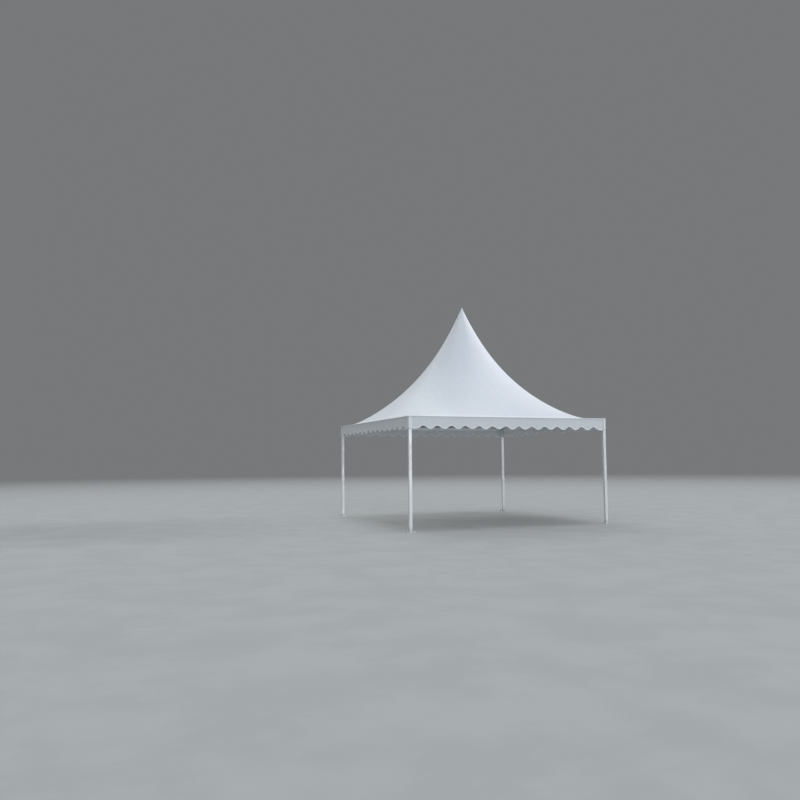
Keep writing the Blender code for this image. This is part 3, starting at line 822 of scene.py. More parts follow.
def fork_and_pin():
    """A fork along +X from its pin at the origin, its cheeks on both sides of the lug."""
    shoulder = [(FORK_SLOT * 0.55, -FORK_NOSE), (FORK_SLOT + 0.002, -FORK_WAIST)]
    outline = arc(0, 0, FORK_NOSE, 1, 2, 12) + shoulder + [(x, -z) for x, z in shoulder[::-1]]
    cheeks = []
    for side in (-1, 1):
        near_face = [(x, FORK_GAP * side, z) for x, z in outline]
        cheeks.append(chamfered(prism([near_face], (0, FORK_CHEEK * side, 0)), FORK_CHAMFER))
    outer = FORK_GAP + FORK_CHEEK
    crown = box_between((FORK_SLOT, -outer, -FORK_WAIST), (FORK_SLOT + FORK_BACK * 0.6, outer, FORK_WAIST))
    neck_low = FORK_SLOT + FORK_BACK * 0.5
    neck = [(0, neck_low), (outer * 1.12, neck_low), (ROD_RADIUS + 0.0010, fork_end), (0, fork_end)]
    head, shaft = PIN_RADIUS * 1.45, PIN_RADIUS - 0.0002
    pin = turned([
        (0, -outer - FORK_PIN_HEAD), (PIN_RADIUS * 1.3, -outer - FORK_PIN_HEAD),
        (head, -outer - FORK_PIN_HEAD + TURNED_EDGE), (head, -outer - SEAT_GAP),
        (shaft, -outer - SEAT_GAP), (shaft, outer + FORK_PIN_END - 0.0008),
        (PIN_RADIUS - TURNED_EDGE, outer + FORK_PIN_END), (0, outer + FORK_PIN_END),
    ], 24)
    washer = turned(tube(PIN_RADIUS, PIN_RADIUS * 1.5, outer + SEAT_GAP, outer + 0.0018), 24)
    split_out = outer + SPLIT_PIN_OUT
    split = sweep([(-0.0095, 0.0042, split_out), (0.0085, 0.0, split_out),
                   (0.0105, -0.0035, split_out - 0.0007)], SPLIT_PIN_RADIUS, 6)
    crosswise_pin = moved(united([pin, washer, split]), quarter_turn(-1, "X"))
    return united([*cheeks, chamfered(crown, CROWN_CHAMFER), turned_along_x(neck, 24), crosswise_pin])


def open_body():
    """Two bosses joined by two rails, along +X."""
    parts = [
        turned_along_x(tube(ROD_RADIUS + 0.0004, BOSS_RADIUS, low, low + BOSS_LENGTH, BOSS_EDGE), 28)
        for low in (body_start, body_end - BOSS_LENGTH)
    ]
    rail_end = BOSS_LENGTH - RAIL_OVERLAP
    half = RAIL_THICKNESS / 2
    for middle in (half - BOSS_RADIUS, BOSS_RADIUS - half):
        rail = box_between((body_start + rail_end, middle - half, -RAIL_HALF_WIDTH),
                           (body_end - rail_end, middle + half, RAIL_HALF_WIDTH))
        parts.append(chamfered(rail, RAIL_CHAMFER))
    return united(parts)


def winding_tree():
    """Strands wound round each path: a wire rope's lay, or a screw's thread."""
    tree, given, result = new_geometry_tree("strands_round_a_line", {
        "Strands": "Int", "Lay Length": "Float", "Winding Radius": "Float", "Strand Radius": "Float",
        "Steps A Turn": "Float", "Strand Sides": "Int",
    })
    fine = spaced_path(given, figure("DIVIDE", given["Lay Length"], given["Steps A Turn"]))
    kept = add_node(tree, "GeometryNodeCaptureAttribute", {"Geometry": fine}, domain="POINT")
    for kind, label in (("FLOAT", "Length"), ("VECTOR", "Normal"), ("VECTOR", "Tangent")):
        kept.capture_items.new(kind, label)
    feed(kept, {
        "Length": add_node(tree, "GeometryNodeSplineParameter").outputs["Length"],
        "Normal": wire(tree, "GeometryNodeInputNormal"),
        "Tangent": wire(tree, "GeometryNodeInputTangent"),
    })
    copies = add_node(tree, "GeometryNodeDuplicateElements", {
        "Geometry": kept.outputs["Geometry"], "Amount": given["Strands"],
    }, domain="SPLINE")
    part_turn = figure("DIVIDE", copies.outputs["Duplicate Index"], given["Strands"])
    turns = plus(figure("DIVIDE", kept.outputs["Length"], given["Lay Length"]), part_turn)
    outward = wire(tree, "ShaderNodeVectorRotate", {
        "Vector": kept.outputs["Normal"], "Axis": kept.outputs["Tangent"], "Angle": times(turns, 2 * math.pi),
    })
    offset = wire(tree, "ShaderNodeVectorMath", {0: outward, "Scale": given["Winding Radius"]},
                  operation="SCALE")
    wound = wire(tree, "GeometryNodeSetPosition", {"Geometry": copies.outputs["Geometry"], "Offset": offset})
    section = wire(tree, "GeometryNodeCurvePrimitiveCircle", {
        "Resolution": given["Strand Sides"], "Radius": given["Strand Radius"],
    })
    return close_tree(given, result, wire(tree, "GeometryNodeCurveToMesh", {
        "Curve": wound, "Profile Curve": section, "Fill Caps": True,
    }))


def turnbuckle():
    rod_start, rod_end = fork_end - ROD_INTO_FORK, body_start + BOSS_LENGTH + ROD_PAST_BOSS
    rod = turned_along_x([
        (0, rod_start), (ROD_RADIUS, rod_start), (ROD_RADIUS, rod_end - TURNED_EDGE),
        (ROD_RADIUS - TURNED_EDGE, rod_end), (0, rod_end),
    ], 20)
    nut_low = body_start - NUT_DEPTH - SEAT_GAP
    nut = prism([[(nut_low, x, y) for x, y in circle(0, 0, NUT_HEX / math.sqrt(3), 6)]], (NUT_DEPTH, 0, 0))
    return united([fork_and_pin(), rod, chamfered(nut, NUT_CHAMFER), open_body()])


windings = winding_tree()
tensioner_mesh = on_the_cable(turnbuckle())
thread_line = [corner_pin + cable_way * (fork_end + THREAD_FROM_FORK),
               corner_pin + cable_way * (body_start + BOSS_LENGTH + THREAD_PAST_BOSS)]
thread_mesh = grown(windings, [thread_line], zinc, {
    "Strands": 1, "Lay Length": THREAD_PITCH, "Winding Radius": ROD_RADIUS,
    "Strand Radius": THREAD_RIDGE * 0.8, "Steps A Turn": 12.0, "Strand Sides": 4,
})
stand_round(CORNERS, "tensioner", tensioner_mesh, zinc, "turnbuckle")
stand_round(CORNERS, "tensioner_thread", thread_mesh, zinc)


# Cables
# Galvanised wire rope of six strands round a core, pulled tight under the roof. A threaded stud
# is swaged on at the turnbuckle, and a fork terminal at the mast foot.

ROPE_RADIUS = 0.004
ROPE_LAY = 0.052
STRANDS = 6
STUD_RADIUS = 0.0065
STUD_LENGTH = 0.072
STUD_PAST_BOSS = 0.020
STUD_TAPER = 0.010
TERMINAL_RADIUS = 0.008
TERMINAL_LENGTH = 0.080
TERMINAL_TAPER = 0.012
ROPE_INTO_END = 0.004
SWAGED = ROPE_RADIUS + 0.0006
WIRE = (0.43, 0.44, 0.45, 1.0)
WIRE_BRIGHT = (0.60, 0.61, 0.62, 1.0)

cable_span = (mast_pin - corner_pin).length
stud_end = body_end + STUD_LENGTH
terminal_back = cable_span - fork_end
terminal_front = terminal_back - TERMINAL_LENGTH
strand_radius = ROPE_RADIUS / 3


def wire_rope(name):
    """Drawn zinc-coated wire with greasy grey patches."""
    made, shader, place = new_material(name)
    grease = stained(place, size=0.04, cover=0.8)
    feed(shader, {
        "Base Color": mixed(grease, WIRE_BRIGHT, WIRE), "Roughness": remapped(grease, 0.0, 1.0, 0.34, 0.52),
        "Metallic": ZINC_METAL, "Normal": bumped(clouds(place, 1400.0, 2.0), strength=0.35, depth=0.0003),
    })
    return made


def terminals():
    """Swaged stud behind the turnbuckle, and the fork terminal at the mast, along +X."""
    stud_start = body_end - BOSS_LENGTH - STUD_PAST_BOSS
    stud = turned_along_x([
        (0, stud_start), (ROD_RADIUS - TURNED_EDGE, stud_start), (ROD_RADIUS, stud_start + TURNED_EDGE),
        (ROD_RADIUS, body_end + 0.002), (STUD_RADIUS, body_end + 0.004),
        (STUD_RADIUS, stud_end - STUD_TAPER), (SWAGED, stud_end), (0, stud_end),
    ], 20)
    mast_fork = moved(fork_and_pin(), Matrix.Translation((cable_span, 0, 0)) @ quarter_turn(2))
    sleeve = turned_along_x([
        (0, terminal_front), (SWAGED, terminal_front), (TERMINAL_RADIUS, terminal_front + TERMINAL_TAPER),
        (TERMINAL_RADIUS, terminal_back + ROD_INTO_FORK), (0, terminal_back + ROD_INTO_FORK),
    ], 20)
    return united([stud, mast_fork, sleeve])


rope_metal = wire_rope("wire_rope")
rope_line = [corner_pin + cable_way * (stud_end - ROPE_INTO_END),
             corner_pin + cable_way * (terminal_front + ROPE_INTO_END)]
rope_mesh = grown(windings, [rope_line], rope_metal, {
    "Strands": STRANDS, "Lay Length": ROPE_LAY, "Winding Radius": ROPE_RADIUS - strand_radius,
    "Strand Radius": strand_radius * 1.02, "Steps A Turn": 10.0, "Strand Sides": 6,
})
stand_round(CORNERS, "rope_strands", rope_mesh, rope_metal, "cable")
stand_round(CORNERS, "rope_core", finished(sweep(rope_line, strand_radius * 1.1)), rope_metal)
stand_round(CORNERS, "rope_ends", on_the_cable(terminals()), zinc)


# Mast
# A round aluminium tube that floats on the four cables: its foot is a steel plate with a sleeve
# and four welded lugs, and its head a turned cone that carries the top of the roof. The cone
# follows the membrane's own curve a little inside it.

MAST_WALL = 0.003
SLEEVE_WALL = 0.005
SLEEVE_HEIGHT = 0.070
FOOT_PLATE = 0.008
FOOT_MARGIN = 0.012
MAST_PLAY = 0.0006
CONE_SKIN = 0.0050
SIDE_CURVE = 2.28  # how fast the sides sweep in above the eave
STRAIGHT_SHARE = 0.38  # how much of the sides' profile is a straight line to the top ring
TOP_RADIUS = 0.016

mast_low, mast_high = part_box("mast")
head_low, head_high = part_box("mast_head")
roof_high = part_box("roof_membrane")[1]
roof_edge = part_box("valance_front")[1].z
mast_radius = (mast_high.x - mast_low.x) / 2
mast_bore = mast_radius + MAST_PLAY
sleeve_radius = mast_bore + SLEEVE_WALL
foot_floor = foot_low.z + FOOT_PLATE


def roof_half_width(rise):
    """Half width at the middle of a side, where rise is 0 at the eave and 1 at the top ring."""
    swept = (math.exp(-SIDE_CURVE * rise) - math.exp(-SIDE_CURVE)) / (1 - math.exp(-SIDE_CURVE))
    fall = STRAIGHT_SHARE * (1 - rise) + (1 - STRAIGHT_SHARE) * swept
    return TOP_RADIUS + (half_side - TOP_RADIUS) * fall


def half_width_at(height):
    return roof_half_width((height - roof_edge) / (roof_high.z - roof_edge))


def mast_foot():
    foot, top = sleeve_radius + FOOT_MARGIN, foot_floor + SLEEVE_HEIGHT
    plate = tube(0, foot, foot_low.z, foot_floor, TURNED_EDGE)[:-1]
    body = turned(plate + [
        (sleeve_radius, foot_floor), (sleeve_radius, top - TURNED_EDGE), (sleeve_radius - TURNED_EDGE, top),
        (mast_bore + TURNED_EDGE, top), (mast_bore, top - TURNED_EDGE), (mast_bore, foot_floor),
        (0, foot_floor),
    ], 48)
    lug_root = mast_bore + SLEEVE_WALL / 2
    ears = [moved(lug(DIAGONAL * lug_root, MAST_LUG_CIRCLE - lug_root, mast_pin.z), quarter_turn(turns))
            for turns in range(4)]
    bolts = [
        moved(hex_bolt(), Matrix.Translation((0, side * sleeve_radius, foot_floor + SLEEVE_HEIGHT * 0.62))
              @ quarter_turn(-side, "X"))
        for side in (-1, 1)
    ]
    return united([body, *ears, *bolts])


def mast_foot_welds():
    """Beads up both sides of each lug, and a ring round the sleeve on the plate."""
    one_lug = lug_welds(DIAGONAL * (sleeve_radius + 0.0008) + UP * mast_pin.z, 0.2)
    ring = [Vector((x, y, foot_floor + 0.001)) for x, y in arc(0, 0, sleeve_radius + 0.001, 0, 4, 40)]
    all_lugs = [[quarter_turn(turns) @ point for point in path] for turns in range(4) for path in one_lug]
    return all_lugs + [ring]


def mast_head():
    """A plug that fits the tube, under a cone with the membrane's profile."""
    plug, base = mast_radius - MAST_WALL - MAST_PLAY, mast_high.z + SEAT_GAP
    heights = [base + (head_high.z - base) * share for share in shares(8)]
    return turned([
        (0, head_low.z), (plug - TURNED_EDGE, head_low.z), (plug, head_low.z + TURNED_EDGE), (plug, base),
        *((half_width_at(height) - CONE_SKIN, height) for height in heights), (0, head_high.z),
    ], 48)


mast_tube = turned(tube(mast_radius - MAST_WALL, mast_radius, mast_low.z, mast_high.z), 48)
stand("mast_shoe", finished(mast_foot()), zinc, "mast_foot")
stand("mast_shoe_welds", weld(mast_foot_welds()), zinc)
stand("mast_tube", finished(mast_tube), extruded_aluminium("aluminium_mast", 2), "mast")
stand("mast_cone", finished(mast_head()), beam_metal[0], "mast_head")


# Roof membrane
# Polyester scrim coated white on both sides, cut as four gores of two strips each and welded by
# high frequency along the hips and up the middle of each side. It is stretched over the mast
# and pulled down into the beams, so it has no folds, only faint ripples near its corners.

HIP_CURVE = 0.21  # how fast the plan turns from a square at the eave to a circle at the top
COLUMNS_A_SIDE = 48
RINGS = 110
RING_CROWDING = 1.25  # above 1, the rings lie closer together near the eave
CLOTH_THICKNESS = 0.0012
SEAM_HALF_WIDTH = 0.016
SEAM_STEP = 0.0007
EAVE_BAND = 0.062  # the keder's pocket lies under the cloth here
THREADS_A_METRE = 900.0
THREAD_RELIEF = 0.00005
FAN_HEIGHT = 0.0016  # of the ripples that fan out from the corners
FAN_RIPPLES = 26
FAN_REACH = 0.55
FAN_START = 0.12
SWELL_HEIGHT = 0.0022
SWELL_START = 0.15
CLOTH_WHITE = (0.775, 0.790, 0.845, 1.0)
CLOTH_COOL = (0.710, 0.735, 0.815, 1.0)
CLOTH_GRIME = (0.56, 0.58, 0.55, 1.0)
SEAM_WHITE = (0.82, 0.83, 0.86, 1.0)
BAND_WHITE = (0.885, 0.890, 0.915, 1.0)


def roof_point(across, along, rise):
    """The outer face over the eave point (across, along) of the unit square."""
    reach = math.hypot(across, along)
    across, along = across / reach, along / reach
    power = 2 / max(rise, 1e-9) ** HIP_CURVE
    largest = max(abs(across), abs(along))
    spread = (abs(across / largest) ** power + abs(along / largest) ** power) ** (1 / power)
    radius = roof_half_width(rise) / (largest * spread)
    return Vector((across * radius, along * radius, roof_edge + (roof_high.z - roof_edge) * rise))


def weave_group():
    """Relief of the scrim under its coating, from a flat cloth map in metres."""
    inputs = {"Vector": "Vector", "Threads": "Float"}
    tree, given, result = new_tree("ShaderNodeTree", "scrim", inputs, {"Height": "Float"})
    spread = wire(tree, "ShaderNodeVectorMath", {0: given["Vector"], "Scale": given["Threads"]},
                  operation="SCALE")
    waves = [figure("SINE", times(part_of(spread, axis), 2 * math.pi)) for axis in "XY"]
    feed(result, {"Height": times(*waves)})
    return tree


def distance_to(name, tree):
    return add_node(tree, "ShaderNodeAttribute", attribute_name=name).outputs["Fac"]


def coated_cloth(name, white, cool, grime=0.25, seams=False):
    """White coated cloth: broad cool drifts, rain streaks, weld bands and the scrim's relief."""
    made, shader, place = new_material(name)
    tree = made.node_tree
    flat = wire(tree, "ShaderNodeUVMap", uv_map="cloth")
    color = mixed(eased(clouds(place, 0.55, 3.0), 0.35, 0.70, 0.0, 0.55), white, cool)
    stretched = wire(tree, "ShaderNodeMapping", {"Vector": flat, "Scale": (9.0, 0.8, 1.0)})
    streak = stained(stretched, size=1.0, cover=0.7)
    specks = stained(place, size=0.05, cover=0.5)
    dirt = times(plus(times(streak, 0.6), times(specks, 0.4)), grime)
    color = mixed(dirt, color, CLOTH_GRIME)
    threads = wire(tree, "ShaderNodeGroup", {"Vector": flat, "Threads": THREADS_A_METRE}, node_tree=scrim)
    relief = times(threads, THREAD_RELIEF)
    if seams:
        up_gore = part_of(flat, "Y")
        doubled = eased(up_gore, EAVE_BAND * 0.97, EAVE_BAND * 1.03, 0.65, 0.0)
        color = mixed(doubled, color, BAND_WHITE)
        nearest = figure("MINIMUM", distance_to("from_hip", tree), distance_to("from_middle", tree))
        nearest = figure("MINIMUM", nearest, minus(up_gore, EAVE_BAND - SEAM_HALF_WIDTH))
        band = eased(nearest, SEAM_HALF_WIDTH * 0.9, SEAM_HALF_WIDTH * 1.1, 1.0, 0.0)
        relief = plus(relief, times(band, SEAM_STEP))
        color = mixed(times(band, 0.24), color, SEAM_WHITE)
        line = eased(figure("ABSOLUTE", minus(nearest, SEAM_HALF_WIDTH)), 0.0008, 0.0035, 1.0, 0.0)
        color = mixed(times(line, 0.20), color, CLOTH_GRIME)
    feed(shader, {
        "Base Color": color, "Roughness": remapped(specks, 0.0, 1.0, 0.40, 0.58),
        "Normal": bumped(relief, strength=0.6, depth=1.0), "Sheen Weight": 0.08,
        "Specular IOR Level": 0.42,
    })
    return made


def ripple(point):
    """How far the membrane stands off its smooth shape, most near the corners."""
    corner = Vector((math.copysign(half_side, point.x), math.copysign(half_side, point.y), roof_edge))
    away = (point - corner).length
    turn = math.atan2(abs(corner.y) - abs(point.y), abs(corner.x) - abs(point.x) + 1e-6)
    fan = FAN_HEIGHT * math.sin(FAN_RIPPLES * turn + corner.x) * math.exp(-away / FAN_REACH)
    above_eave = min(1.0, max(0.0, point.z - roof_edge) / SWELL_START)
    return fan * min(1.0, away / FAN_START) + SWELL_HEIGHT * noise.noise(point * 1.3) * above_eave


def distances(points):
    """How far each point lies along its line."""
    so_far = [0.0]
    for here, there in zip(points, points[1:]):
        so_far.append(so_far[-1] + (there - here).length)
    return so_far


def roof_skin():
    """The outer face, with a flat map of each gore and how far each point is from the weld bands."""
    shape = bmesh.new()
    cloth = shape.loops.layers.uv.new("cloth")
    from_hip = shape.verts.layers.float.new("from_hip")
    from_middle = shape.verts.layers.float.new("from_middle")
    side_points = [(-1 + 2 * step / COLUMNS_A_SIDE, -1) for step in range(COLUMNS_A_SIDE)]
    around = []
    for _ in range(4):
        around += side_points
        side_points = [(-y, x) for x, y in side_points]
    rings, widths, middles = [], [], []
    for rise in (share ** RING_CROWDING for share in shares(RINGS)):
        points = [roof_point(x, y, rise) for x, y in around]
        width = distances(points[:COLUMNS_A_SIDE])[-1] * COLUMNS_A_SIDE / (COLUMNS_A_SIDE - 1)
        widths.append(width)
        middles.append(points[COLUMNS_A_SIDE // 2])
        rings.append([])
        for index, point in enumerate(points):
            outward = Vector((point.x, point.y, 0)).normalized() * 0.8 + UP * 0.6
            vert = shape.verts.new(point + outward * ripple(point) * (1 - rise) ** 0.5)
            share = index % COLUMNS_A_SIDE / COLUMNS_A_SIDE
            vert[from_hip] = min(share, 1 - share) * width
            vert[from_middle] = abs(share - 0.5) * width
            rings[-1].append(vert)
    heights = distances(middles)
    for face, ring, index in woven(shape, rings, closed=True):
        left = index % COLUMNS_A_SIDE / COLUMNS_A_SIDE - 0.5
        right = left + 1 / COLUMNS_A_SIDE
        corners = ((left, ring), (right, ring), (right, ring + 1), (left, ring + 1))
        for loop, (share, at) in zip(face.loops, corners):
            loop[cloth].uv = (share * widths[at], heights[at])
    return as_mesh(shape), heights[-1]


def thicken(piece, thickness, offset):
    """Gives a skin its thickness, inwards where the offset is -1."""
    skin = piece.modifiers.new("thickness", "SOLIDIFY")
    skin.thickness = thickness
    skin.offset = offset


scrim = weave_group()
roof_cloth = coated_cloth("coated_cloth_roof", CLOTH_WHITE, CLOTH_COOL, grime=0.22, seams=True)
roof_mesh, gore_length = roof_skin()
roof = stand("roof_cloth", roof_mesh, roof_cloth, "roof_membrane")
thicken(roof, CLOTH_THICKNESS, -1)


# Keder edge
# The roof's edge is welded round a cord that is threaded into the beams, and shows as a bright
# bead along the crease above the valance.

BEAD_RADIUS = 0.0090
BEAD_STEPS = 60
EDGE_WHITE = (0.86, 0.865, 0.875, 1.0)


def edge_bead():
    """One side's bead, which turns half of each corner and meets the next on the diagonal."""
    out = half_side + BEAD_RADIUS * 0.75
    bend = BEAD_RADIUS * 1.1
    straight = out - bend
    half_corner = arc(0, 0, bend, 1, -0.5, 4)[1:]
    points = [(-straight - x, -straight - y) for x, y in half_corner[::-1]]
    points += [(straight * (2 * share - 1), -out) for share in shares(BEAD_STEPS)]
    points += [(straight + x, -straight - y) for x, y in half_corner]
    return sweep([(x, y, roof_edge - BEAD_RADIUS * 0.2) for x, y in points], BEAD_RADIUS, 12)


def flat_map(mesh, along, up):
    """A cloth map in metres from two directions that lie in the cloth."""
    layer = mesh.uv_layers.new(name="cloth")
    for loop in mesh.loops:
        point = mesh.vertices[loop.vertex_index].co
        layer.data[loop.index].uv = (point.dot(Vector(along)), point.dot(Vector(up)))
    return mesh


edge_cloth = coated_cloth("coated_cloth_edge", EDGE_WHITE, CLOTH_WHITE, grime=0.15)
bead_mesh = flat_map(finished(edge_bead()), (1, 0, 0), (0, 1, 1))
edges = stand_round(SIDES, "keder_edge", bead_mesh, edge_cloth)


# Valances
# Strips of the same cloth, die-cut along the lower edge into round tongues and bound with white
# tape that is sewn on. They hang free from the eave, so they wave a little and the tongues curl.

TONGUES = 15
SCALLOP_DEPTH = 0.072
SCALLOP_NARROWING = 1.25
VALANCE_STEPS = 16  # columns in one tongue
VALANCE_ROWS = 12
SWAY = 0.0050
FLUTTER = 0.0016
LEAN = 0.0006
TIP_CURL = 0.003  # of all tongues on average
CURL_SPREAD = 0.011  # how far a single tongue's curl may lie from that
HELD_END = 0.10  # the sway grows over this length from each end, which a corner strip holds
TAPE_WIDTH = 0.022
TAPE_THICKNESS = 0.0028
TAPE_FOLD = 0.0009
TAPE_STEP = 0.006
TAPE_PAST_EDGE = 0.001  # below the cloth's cut edge
STITCH_INSET = 0.002  # from the tape's upper edge
STITCH_PITCH = 0.0075
STITCH_LENGTH = 0.0048
STITCH_WIDTH = 0.0011
# The valance cloth is painted darker than the roof's: painted shade for its upright faces, which get less
# light.
VALANCE_SHADED_WHITE = (0.735, 0.757, 0.800, 1.0)
VALANCE_SHADED_COOL = (0.665, 0.692, 0.750, 1.0)
TAPE_WHITE = (0.88, 0.885, 0.89, 1.0)
THREAD_WHITE = (0.78, 0.78, 0.77, 1.0)

valance_low, valance_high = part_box("valance_front")
tongue_pitch = 2 * half_side / TONGUES
valance_bottom = valance_low.z
valance_face = (valance_low.y + valance_high.y) / 2


def scallop(x):
    """Height of the lower edge at x, full down over the last half tongue at each end."""
    if abs(x) > half_side - tongue_pitch / 2:
        return valance_bottom
    notch = math.cos(math.pi * (x + half_side) / tongue_pitch) ** 2
    return valance_bottom + SCALLOP_DEPTH * notch ** SCALLOP_NARROWING


def within_valance(x):
    return min(max(x, valance_low.x), valance_high.x)


def valance_point(x, z, seed, forward=0.0):
    """A point of the hanging cloth, which sways about its plane and curls at the tongues."""
    hang = (roof_edge - z) / (roof_edge - valance_bottom)
    wave = SWAY * noise.noise(Vector((x * 1.7, seed * 5.7, 0)))
    wave += FLUTTER * noise.noise(Vector((x * 9, seed, 3)))
    tongue = math.floor((x + half_side) / tongue_pitch)
    tip = max(0.0, (valance_bottom + SCALLOP_DEPTH - z) / SCALLOP_DEPTH)
    curl = TIP_CURL + CURL_SPREAD * noise.noise(Vector((tongue * 2.37 + 0.4, seed * 1.9 + 0.7, 1)))
    ends = min(1.0, (valance_high.x - abs(x)) / HELD_END)
    out = (wave * hang ** 1.4 + curl * tip * tip) * ends + LEAN * hang
    return Vector((x, valance_face - out - forward, z))


def valance(seed):
    shape = bmesh.new()
    evenly = [half_side * (2 * share - 1) for share in shares(TONGUES * VALANCE_STEPS)]
    columns = sorted({within_valance(x) for x in evenly})
    rows = []
    for share in shares(VALANCE_ROWS)[::-1]:
        points = [(x, roof_edge - (roof_edge - scallop(x)) * share) for x in columns]
        rows.append([shape.verts.new(valance_point(x, z, seed)) for x, z in points])
    woven(shape, rows)
    return flat_map(as_mesh(shape), (1, 0, 0), (0, 0, 1))


def scallop_line(seed, inset, forward=0.0):
    """The lower edge as a path, moved up into the cloth and forward of it."""
    length = valance_high.x - valance_low.x
    places = [valance_low.x + length * share for share in shares(TONGUES * VALANCE_STEPS * 2)]
    edge = [Vector((x, 0, scallop(x))) for x in places]
    path = []
    for index, point in enumerate(edge):
        way = (edge[min(index + 1, len(edge) - 1)] - edge[max(index - 1, 0)]).normalized()
        inner = point + Vector((-way.z, 0, way.x)) * inset
        path.append(valance_point(within_valance(inner.x), inner.z, seed, forward))
    return path


def tape_tree():
    """A flat tape swept along each path, standing on edge."""
    tree, given, result = new_geometry_tree("tape_along_a_path", {
        "Tape Width": "Float", "Tape Thickness": "Float", "Fold Radius": "Float", "Point Spacing": "Float",
    })
    spaced = spaced_path(given, given["Point Spacing"])
    flat = wire(tree, "GeometryNodeCurvePrimitiveQuadrilateral", {
        "Width": given["Tape Thickness"], "Height": given["Tape Width"],
    })
    return close_tree(given, result, wire(tree, "GeometryNodeCurveToMesh", {
        "Curve": wire(tree, "GeometryNodeSetCurveNormal", {"Curve": spaced}, mode="Z_UP"),
        "Profile Curve": wire(tree, "GeometryNodeFilletCurve", {
            "Curve": flat, "Radius": given["Fold Radius"], "Count": 2,
        }, mode="POLY"),
        "Fill Caps": True,
    }))


tapes = tape_tree()
valance_cloth = coated_cloth("coated_cloth_valance", VALANCE_SHADED_WHITE, VALANCE_SHADED_COOL, grime=0.30)
tape_cloth = coated_cloth("binding_tape", TAPE_WHITE, CLOTH_WHITE, grime=0.10)
thread_cloth = coated_cloth("sewing_thread", THREAD_WHITE, CLOTH_WHITE, grime=0.10)
tape_sizes = {"Tape Width": TAPE_WIDTH, "Tape Thickness": TAPE_THICKNESS, "Fold Radius": TAPE_FOLD,
              "Point Spacing": TAPE_STEP}
stitch_sizes = {"Pitch": STITCH_PITCH, "Bead Length": STITCH_LENGTH, "Bead Width": STITCH_WIDTH}
for turns, side in enumerate(SIDES):
    seed = turns + 1
    strip = stand(f"valance_cloth_{side}", valance(seed), valance_cloth, f"valance_{side}", turns)
    thicken(strip, CLOTH_THICKNESS, 0)
    tape_line = scallop_line(seed, TAPE_WIDTH / 2 - TAPE_PAST_EDGE)
    tape_mesh = grown(tapes, [tape_line], tape_cloth, tape_sizes)
    tape_mesh.set_sharp_from_angle(angle=math.radians(20))
    stitch_line = scallop_line(seed, TAPE_WIDTH - TAPE_PAST_EDGE - STITCH_INSET, TAPE_THICKNESS / 2)
    stitch_mesh = grown(beads, [stitch_line], thread_cloth, stitch_sizes)
    sewn_on = [
        stand(f"{name}_{side}", flat_map(mesh, (1, 0, 0), (0, 0, 1)), finish, None, turns)
        for name, mesh, finish in (("valance_tape", tape_mesh, tape_cloth),
                                   ("valance_stitches", stitch_mesh, thread_cloth))
    ]


# Valance corners
# Each corner is covered by a strip of doubled cloth, welded on over both valances. It turns
# round the corner above the leg, a little proud of the valances, and its cloth is painted brighter
# than theirs: a painted highlight for the light its bend catches.

WRAP_RADIUS = 0.009
WRAP_PROUD = 0.0022
WRAP_DROP = 0.0004
WRAP_BOW = 0.0012
WRAP_UNEVEN = 0.0008
WRAP_ROWS = 14
# Painted highlight: the wrap's cloth is brighter than the valances' for the light its bend catches.
WRAP_LIT_WHITE = (0.87, 0.88, 0.90, 1.0)
WRAP_LIT_COOL = (0.80, 0.81, 0.83, 1.0)

wrap_low, wrap_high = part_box("valance_corner_front_left")


def corner_wrap():
    shape = bmesh.new()
    cloth = shape.loops.layers.uv.new("cloth")
    out, end = -wrap_low.x + WRAP_PROUD, wrap_high.x
    bend = -out + WRAP_RADIUS
    plan = [(-out, end + (bend - end) * share) for share in shares(6)[:-1]]
    plan += arc(bend, bend, WRAP_RADIUS, 2, 1, 8)
    plan += [(bend + (end - bend) * share, -out) for share in shares(6)[1:]]
    lengths = distances([Vector(point) for point in plan])
    levels = []
    for share in shares(WRAP_ROWS):
        z = wrap_high.z - WRAP_DROP - (wrap_high.z - wrap_low.z - WRAP_DROP) * share
        bow = WRAP_BOW * math.sin(math.pi * share) + WRAP_UNEVEN * noise.noise(Vector((0, 0, z * 14)))
        levels.append((z, bow))
    columns = []
    for x, y in plan:
        away = Vector((x, y, 0)).normalized()
        columns.append([shape.verts.new(Vector((x, y, z)) + away * bow) for z, bow in levels])
    for face, column, _ in woven(shape, columns):
        for loop, spot in zip(face.loops, (column, column, column + 1, column + 1)):
            loop[cloth].uv = (lengths[spot], loop.vert.co.z)
    return as_mesh(shape), lengths[-1]


wrap_mesh, wrap_width = corner_wrap()
wrap_cloth = coated_cloth("coated_cloth_corner", WRAP_LIT_WHITE, WRAP_LIT_COOL, grime=0.2)
wraps = stand_round(CORNERS, "corner_wrap", wrap_mesh, wrap_cloth, "valance_corner")
for corner, wrap in zip(CORNERS, wraps):
    thicken(wrap, 2 * CLOTH_THICKNESS, -1)


# Peak cap
# A small hood of the same cloth, welded into a cone, pulled down over the membrane's top ring to
# keep rain out. A hem is turned up at its lower edge.

CAP_SKIN = 0.0010
CAP_STAND_OFF = 0.0012
CAP_HEM = 0.016
CAP_TIP = 0.0050

cap_low, cap_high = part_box("peak_cap")
cap_cloth = coated_cloth("coated_cloth_cap", CLOTH_WHITE, CLOTH_COOL, grime=0.22)


def peak_cap():
    outer = []
    for share in shares(12):
        height = cap_low.z + (roof_high.z - cap_low.z) * share
        hem = CAP_SKIN * 0.8 if height < cap_low.z + CAP_HEM else 0.0
        outer.append((half_width_at(height) + CAP_STAND_OFF + hem, height))
    last, tip_start = outer[-1][0], cap_high.z - CAP_TIP
    for share in shares(8)[1:]:
        outer.append((last + (CAP_TIP - last) * share, roof_high.z + (tip_start - roof_high.z) * share))
    tip = arc(0, tip_start, CAP_TIP, 0, 1, 6)[1:6] + [(0, cap_high.z)]
    return turned(outer + tip + [(0, tip_start)] + [(x - CAP_SKIN, z) for x, z in outer[::-1]], 48)


